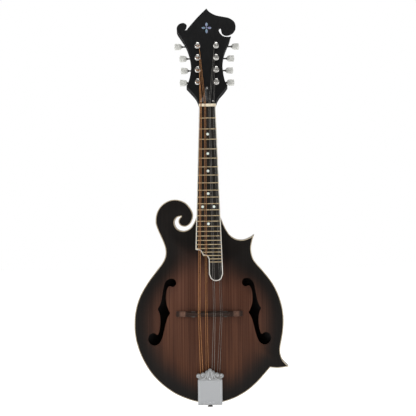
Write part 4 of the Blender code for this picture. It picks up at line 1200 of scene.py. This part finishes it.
FRAME_LINE = (
    (-17.6, -23.0), (-17.6, 15.2), (-16.6, 16.2), (16.6, 16.2),
    (17.6, 15.2), (17.6, -23.0), (16.6, -24.0), (-16.6, -24.0),
)
RELIEF = (  # lines of the treble half, each with its width and height
    (spiral(19.2, 25.0, -2.4, 1.25, 3.1, 0.5, 1), 1.1, 0.55),
    (spiral(12.0, 25.4, 3.6, 1.2, 3.6, 0.5, -1), 1.1, 0.55),
    (smooth(((17.6, 19.4), (13.0, 19.0), (8.6, 21.2), (6.6, 25.6), (8.0, 28.6)), 0.9), 1.2, 0.55),
    (smooth(((3.0, 19.4), (4.4, 23.4), (5.0, 27.6), (4.2, 31.6)), 0.9), 1.4, 0.6),
    (smooth(((1.2, 21.4), (2.2, 26.0), (1.9, 31.0), (0.9, 35.0)), 0.9), 1.5, 0.65),
    (smooth(((2.4, 18.6), (6.4, 18.4), (10.2, 18.9), (15.6, 17.9)), 0.9), 1.0, 0.45),
    (smooth(((16.0, -21.6), (11.4, -21.9), (7.0, -20.8), (3.8, -22.0)), 0.9), 0.9, 0.4),
    (spiral(5.0, -20.4, -1.2, 0.9, 1.6, 0.4, 1, 20), 0.7, 0.4),
    (spiral(15.0, 13.6, 1.2, 0.9, 1.7, 0.4, 1, 20), 0.6, 0.35),
)
BOSSES = (  # x, y, radius, height
    (0, 19.6, 2.0, 0.75), (0, -20.9, 1.5, 0.5), (19.2, 25.0, 0.9, 0.6), (-19.2, 25.0, 0.9, 0.6),
    (12.0, 25.4, 0.9, 0.6), (-12.0, 25.4, 0.9, 0.6),
)
relief = [bead(FRAME_LINE, 0.9, 0.5, closed=True)]
for side in (-1, 1):
    for line, width, height in RELIEF:
        relief.append(bead([(side * x, y) for x, y in line], width, height, taper=True))
for x, y, radius, tall in BOSSES:
    angles = [math.pi / 2 * k / 6 for k in range(6, -1, -1)]
    dome = [(radius * math.cos(a), tall * math.sin(a)) for a in angles]
    boss = turning("boss", [*dome, (0, -0.1)], 20)
    relief.append(place(shade(boss, 60), Matrix.Translation(Vector((x, y, bead_floor)) * MM)))
lip = []
for k in range(13):
    x, y = -18.0 + 3.0 * k, cover_low + 0.9
    lip.append(bead([(x - 1.1, y), (x, cover_low + 0.55), (x + 1.1, y)], 0.9, 0.4))
cover = weld("tailpiece_cover_pressed", cover, *relief, *lip)
belongs(place(cover, TAIL), "tailpiece_cover", "tailpiece_metal", cover_metal, "tailpiece_cover")
dressed("tailpiece_base", nickel, "nickel", 0.2)

# %% End pin
pin_head = 7.0
PIN = (
    (0, -pin_head), (3.6, -pin_head), (4.7, -6.8), (5.2, -6.3), (5.25, -5.9), (4.6, -5.4), (3.7, -5.0), (3.4, -4.4),
    (3.5, -3.4), (4.4, -2.9), (5.2, -2.3), (5.25, -0.6), (4.9, 0.0), (3.5, 0.0), (2.9, 17.0), (0, 17.0),
)
pin = shade(turning("strap_pin", PIN, 40), 30)
pin_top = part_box("end_pin")[0].z / MM + pin_head
place(pin, Matrix.Translation(Vector((0, 14.0, pin_top + 0.02)) * MM))
belongs(pin, "instrument", "black_plastic", dark_metal_and_painted_shade, "end_pin")

# %% [markdown]
# ## Tuning machines
# Each string winds on a post. Under the headstock the post carries a gear of fourteen teeth, and a worm on
# the button's shaft turns it one tooth at a time. One post, one bushing and one button are modelled at the
# origin and copied eight times. The buttons are pearloid: a cube is stretched, subdivided and pinched.

# %% Bushing and post
names = ["g_outer", "g_inner", "d_outer", "d_inner", "a_inner", "a_outer", "e_inner", "e_outer"]
rank = dict(g_outer=0, g_inner=1, d_outer=2, d_inner=3, e_outer=0, e_inner=1, a_outer=2, a_inner=3)
string_radius = {"g": 0.50, "d": 0.33, "a": 0.19, "e": 0.14}
waist, string_depth = 2.2, -5.0
gear_low, gear_high = 16.6, 19.6
BUSHING = (
    (3.25, 0.6), (3.25, -1.5), (3.7, -1.6), (4.3, -1.35), (4.8, -0.75),
    (5.15, -0.35), (5.2, -0.02), (3.9, 0.0), (3.9, 0.6),
)
bushing = shade(turning("bushing", BUSHING, 36), 28)
POST = (
    (0, -8.9), (1.9, -8.9), (2.6, -8.7), (2.95, -8.2), (3.0, -7.7), (2.75, -7.3), (waist, -6.9), (waist, -2.6),
    (2.75, -2.1), (3.0, -1.7), (3.0, gear_low), (3.0, gear_high + 0.3), (1.8, gear_high + 0.4), (1.8, gear_high + 0.8),
    (0, gear_high + 0.8),
)
post = turning("post", POST, 36)
carve(post, "DIFFERENCE", bar("post_slot", 0.5, 4, -9.5, -7.9))
CROSSWISE = directions((1, 0, 0), (0, 0, 1), (0, 1, 0), (0, 0, -4.6))
carve(post, "DIFFERENCE", place(slab("string_hole", circle(0, 0, 0.6, 14), -4, 4), CROSSWISE))
gear = soften(slab("gear", toothed(14, 4.15, 5.0, 0.36, 0.17), gear_low, gear_high), 0.18, 1, 50)
rivet = slab("gear_screw", circle(0, 0, 1.75, 24), gear_high, gear_high + 0.8)
carve(rivet, "DIFFERENCE", bar("slot", 3, 0.25, gear_high + 0.45, gear_high + 2))
post = weld("post", shade(post, 28), gear, shade(rivet, 30))

# %% Button, shaft and worm
worm_half, worm_core, shaft_radius = 3.5, 1.25, 1.3


def button_piece(name, reach):
    """Drawn along z from the centre line of the headstock outwards."""
    knob0, start = reach - 6.8, post_spread - worm_half - 2.3
    alone()
    bpy.ops.mesh.primitive_cube_add(size=2 * MM)
    knob = bpy.context.object
    edit(knob, whole=True)
    bpy.ops.mesh.subdivide(number_cuts=7)
    alone(knob)
    apply(knob, "CAST", cast_type="SPHERE", factor=0.5, radius=1.25 * MM)
    reaches = [max(v.co[axis] for v in knob.data.vertices) for axis in range(3)]
    for vertex in knob.data.vertices:  # out to its size, drawn in towards the shaft, its flats hollowed
        u, v, w = (vertex.co[axis] / reaches[axis] for axis in range(3))
        waist_in = 1 - 0.42 * max(0.0, (-w - 0.1) / 0.9) ** 2
        dished = 1 - 0.16 * max(0.0, 1 - u * u - w * w)
        vertex.co = (5.65 * u * waist_in * MM, 3.45 * v * waist_in * dished * MM, (reach + 6.75 * w) * MM)
    apply(knob, "SUBSURF", levels=1, render_levels=1)
    knob.data.materials.append(pearloid)
    shade(knob, 80)
    worm0, worm1 = post_spread - worm_half, post_spread + worm_half
    profile = (
        (0, start), (shaft_radius - 0.3, start), (shaft_radius, start + 0.3), (shaft_radius, worm0),
        (worm_core, worm0), (worm_core, worm1), (shaft_radius, worm1), (shaft_radius, knob0 - 1.2),
        (1.9, knob0 - 1.0), (2.0, knob0 + 0.6), (1.2, knob0 + 1.4), (0, knob0 + 1.4),
    )
    shaft = turning("shaft", profile, 24)
    thread, turns, section = [], 4, 8
    for k in range(turns * 20 + 1):
        a, z = math.tau * k / 20, worm0 + 0.3 + (worm1 - worm0 - 0.6) * k / (turns * 20)
        ring = []
        for b in (math.tau * j / section for j in range(section)):
            out = 1.35 + 0.38 * math.cos(b)
            ring.append((out * math.cos(a), out * math.sin(a), z + 0.45 * math.sin(b)))
        thread.append(ring)
    worm = shade(sweep("worm", thread), 60)
    # Painted shade: the shaft and worm take the near-black metal, standing for the shade that the nickel shaft lies in.
    for part in (shaft, worm):
        part.data.materials.append(dark_metal_and_painted_shade)
    return weld(name, knob, shade(shaft, 28), worm)


button_reach = (40.6, 38.9, 41.0, 49.6)
shaft_offset, shaft_back = 7.0, 0.5 * (gear_low + gear_high)
for name in names:
    side, k = (-1 if name[0] in "gd" else 1), rank[name]
    up = first_post + post_pitch * k
    hole = shifted(HEAD, side * post_spread, up, 0)
    belongs(copy(bushing, "bushing_" + name, hole), "instrument", "nickel", nickel)
    twin = copy(post, "post_and_gear_" + name, hole)
    belongs(twin, "post_" + name, "nickel", nickel, "tuner_post_" + name)
    SHAFT = HEAD @ directions((0, 1, 0), (0, 0, side), (side, 0, 0), (0, up + shaft_offset, shaft_back))
    piece = place(button_piece("button_and_worm_" + name, button_reach[k]), SHAFT)
    belongs(piece, "button_" + name, "pearl", None, "tuner_button_" + name)
bpy.data.objects.remove(bushing)
bpy.data.objects.remove(post)

# %% Plates under the tuners and their screws
FROM_BEHIND = HEAD @ Matrix.Scale(-1, 4, (0, 0, 1))
plate_outside, screw_row = 16.1, post_spread + 2.6
for side, label in ((-1, "bass"), (1, "treble")):
    dressed(f"tuner_plate_{label}", nickel, "nickel", 0.2)
    for k, up in enumerate((41.5, 63.3, 86.3, 109.3, 125.0)):
        turn = 0.4 + 0.9 * k
        drive(f"plate_screw_{label}_{k}", FROM_BEHIND, side * screw_row, up, -plate_outside, turn, 0.8)

# %% [markdown]
# ## Strings
# The strings run in four pairs, tuned in unison. Each goes from its hook over the saddle, down the fretboard
# and over the nut to its post, where it winds a few times. At the saddle it turns a corner. So each string is
# two sweeps, one on either side of the saddle, plus a coil that turns with the post and a twisted loop on the
# hook.

# %% Strings, coils and loops
course_at_nut = {"g": -10.8, "d": -3.9, "a": 3.8, "e": 10.8}
course_at_bridge = {"g": -17.2, "d": -5.2, "a": 8.3, "e": 20.0}
pair_at_nut, pair_at_bridge, string_at_nut, nut_length = 2.2, 2.7, 1.2, 4.7
hook_radius, hook_pitch = 0.9, 4.3


def across_at(name, centres, pair):
    """A string's place across: half a pair's width from the middle of its course."""
    outwards = -1 if centres[name[0]] < 0 else 1
    return centres[name[0]] + outwards * (pair / 2 if name.endswith("outer") else -pair / 2)


def wire(name, route, radius, sides=10, step=6.0):
    """A round wire along the route, in world millimetres, that knows the distance along itself."""
    points = []
    for a, b in zip(route, route[1:]):
        a, b = Vector(a), Vector(b)
        pieces = max(1, round((b - a).length / step))
        points += [a.lerp(b, k / pieces) for k in range(pieces)]
    points.append(Vector(route[-1]))
    rings, side = [], None
    angles = [math.tau * j / sides for j in range(sides)]
    for i, p in enumerate(points):
        way = (points[min(i + 1, len(points) - 1)] - points[max(i - 1, 0)]).normalized()
        if side is None:
            side = way.orthogonal()
        side = (side - way * side.dot(way)).normalized()
        third = way.cross(side)
        rings.append([p + radius * (math.cos(a) * side + math.sin(a) * third) for a in angles])
    obj = sweep(name, rings)
    tree = KDTree(len(points))
    lengths = [0.0]
    for a, b in zip(points, points[1:]):
        lengths.append(lengths[-1] + (b - a).length)
    for i, p in enumerate(points):
        tree.insert(p, i)
    tree.balance()
    along = obj.data.attributes.new("along", "FLOAT", "POINT")
    for i, vertex in enumerate(obj.data.vertices):
        along.data[i].value = lengths[tree.find(vertex.co / MM)[1]]
    alone(obj)
    bpy.ops.object.shade_smooth_by_angle(angle=math.radians(60))
    return obj


TURNS = {"g": 2.25, "d": 3.25, "a": 4.25, "e": 5.25}  # round the post
hook_clear, coil_clear, twist_clear, saddle_bite = 0.15, 0.12, 0.12, 0.06
loop_steps, twist_steps, twist_turns, coil_steps = 28, 14, 8, 24
whole_run = 99  # a step so long that no point is added between those given
for number, name in enumerate(names):
    course = name[0]
    radius, side = string_radius[course], (-1 if course in "gd" else 1)
    string_metal, slot_name = (wound_bronze, "wound_bronze") if course in "gd" else (string_steel, "plain_steel")
    up, reach = first_post + post_pitch * rank[name], waist + radius + coil_clear
    at_nut = across_at(name, course_at_nut, pair_at_nut)
    at_bridge = across_at(name, course_at_bridge, pair_at_bridge)

    # the two straight parts
    hook_x, loop_radius = hook_pitch * (number - 3.5), hook_radius + radius + hook_clear
    hook = at(TAIL, hook_x, loop_radius, 0)
    saddle = Vector((at_bridge, string_rest_y - radius + saddle_bite, bridge_z))
    nut_low = at(NECK, at_nut, 0, string_at_nut + radius)
    nut_high = at(NECK, at_nut, -nut_length, string_at_nut + radius)
    post_side = at(HEAD, side * (post_spread - reach), up, string_depth)
    neck_part = wire("string_neck_" + name, [saddle, nut_low, nut_high, post_side], radius)
    tail_part = wire("string_tail_" + name, [hook, saddle], radius)
    for part, start in ((neck_part, nut_low), (tail_part, hook)):
        part.data.materials.append(string_metal)
        Vector(start) * MM
        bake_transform(part)
    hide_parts("string_" + name)

    # the coil on the post
    pitch, coil = 2 * radius + 0.03, []
    for k in range(int(TURNS[course] * coil_steps) + 1):
        a = math.tau * k / coil_steps
        x = side * post_spread - side * reach * math.cos(a)
        coil.append(at(HEAD, x, up + reach * math.sin(a), string_depth + pitch * k / coil_steps))
    belongs(wire("coil_" + name, coil, radius, 8, whole_run), "post_" + name, slot_name, string_metal)

    # the loop on the hook, and the twist that closes it
    angles = [math.tau * (0.03 + 0.94 * k / loop_steps) for k in range(loop_steps + 1)]
    loop = [at(TAIL, hook_x + loop_radius * math.sin(a), loop_radius * math.cos(a), 0) for a in angles]
    away = saddle - hook
    length, direction = min(11.0, 0.3 * away.length), away.normalized()
    first = direction.cross(Vector((1, 0, 0))).normalized()
    second = direction.cross(first)
    twist, count = [], twist_steps * twist_turns
    for k in range(count + 1):
        a = math.tau * k / twist_steps
        around_it = (radius + twist_clear) * (math.cos(a) * first + math.sin(a) * second)
        twist.append(hook + direction * (1.0 + length * k / count) + around_it)
    loop_piece = weld(
        "loop_" + name,
        wire("loop", loop, min(radius, 0.22), 6, whole_run),
        wire("twist", twist, min(radius, 0.2), 6, whole_run),
    )
    belongs(loop_piece, "instrument", slot_name, string_metal)
bpy.data.objects.remove(screw)
shown = [o for o in bpy.data.objects if o.type == "MESH" and not o.hide_render]
print(len(shown), "pieces,", sum(len(o.data.polygons) for o in shown), "faces")

# %% [markdown]
# ## Floor, light and camera
# The instrument hangs in a white studio. A pale floor lies below it, the world is white, and two large soft
# lights stand at the sides so that the satin lacquer shows long, soft reflections and no hard spot.

# %% Floor
alone()
bpy.ops.mesh.primitive_plane_add(size=14, location=(0, 0, engineering_box[0].z - 0.06))
floor = bpy.context.object
floor.name = "floor"
bpy.ops.object.transform_apply(location=True, rotation=True, scale=True)
place_at, use = finish("pale_floor", Specular_IOR_Level=0.1, Roughness=0.9, Emission_Strength=0.55)
paper = place_at.noise(3, 3).step(0.2, 0.8)
floor.data.materials.append(
    use(
        Base_Color=paper.mix((0.93, 0.93, 0.93), (0.96, 0.96, 0.96)),
        Emission_Color=paper.mix((0.98, 0.98, 0.98), (1, 1, 1)),
    )
)

# %% World
world = bpy.data.worlds.new("studio")
bpy.context.scene.world = world
world.use_nodes = True
tree = world.node_tree
backgrounds = [tree.nodes["Background"], tree.nodes.new("ShaderNodeBackground")]
rays, choose = tree.nodes.new("ShaderNodeLightPath"), tree.nodes.new("ShaderNodeMixShader")
ways = tree.nodes.new("ShaderNodeTexCoord")
split, ramp = tree.nodes.new("ShaderNodeSeparateXYZ"), tree.nodes.new("ShaderNodeMapRange")
tree.links.new(ways.outputs["Generated"], split.inputs[0])
tree.links.new(split.outputs["Y"], ramp.inputs["Value"])
ramp.inputs["From Min"].default_value, ramp.inputs["From Max"].default_value = -0.9, 0.7
ramp.inputs["To Min"].default_value, ramp.inputs["To Max"].default_value = 0.16, 0.9
tree.links.new(ramp.outputs[0], backgrounds[0].inputs["Strength"])
for background in backgrounds:
    background.inputs["Color"].default_value = (1, 1, 1, 1)
tree.links.new(rays.outputs["Is Camera Ray"], choose.inputs[0])
tree.links.new(backgrounds[0].outputs[0], choose.inputs[1])
tree.links.new(backgrounds[1].outputs[0], choose.inputs[2])
tree.links.new(choose.outputs[0], tree.nodes["World Output"].inputs["Surface"])


# %% Soft lights
def soft_light(name, place, target, size, watts):
    lamp = bpy.data.lights.new(name, "AREA")
    lamp.shape, lamp.size, lamp.energy = "SQUARE", size, watts
    obj = bpy.data.objects.new(name, lamp)
    bpy.context.scene.collection.objects.link(obj)
    obj.location = place
    obj.rotation_euler = (Vector(target) - Vector(place)).to_track_quat("-Z", "Y").to_euler()


middle = (0, 0, -0.25)
soft_light("key", (-1.7, -1.4, 0.8), middle, 1.1, 26)
soft_light("fill", (1.9, -1.3, 0.3), middle, 1.1, 9)
soft_light("top_light", (0.1, -0.6, 1.6), middle, 0.9, 10)

# %% Camera
lens = bpy.data.cameras.new("camera")
lens.sensor_width, lens.lens = 36.0, 127.6
camera = bpy.data.objects.new("camera", lens)
bpy.context.scene.collection.objects.link(camera)
upright, roll = Matrix.Rotation(math.radians(90), 4, "X"), Matrix.Rotation(-0.0102, 4, "Z")
camera.matrix_world = Matrix.Translation((-0.00056, -2.5, -0.1721)) @ upright @ roll
bpy.context.scene.camera = camera
bpy.context.scene.view_settings.view_transform = "Standard"

# %% [markdown]
# ## Sizes
# The engineering model's box is written down. The dressed instrument has to stay inside the engineering
# model's box.

# %% Write the engineering box and finish
print("engineering", [[round(v, 5) for v in corner] for corner in engineering_box])
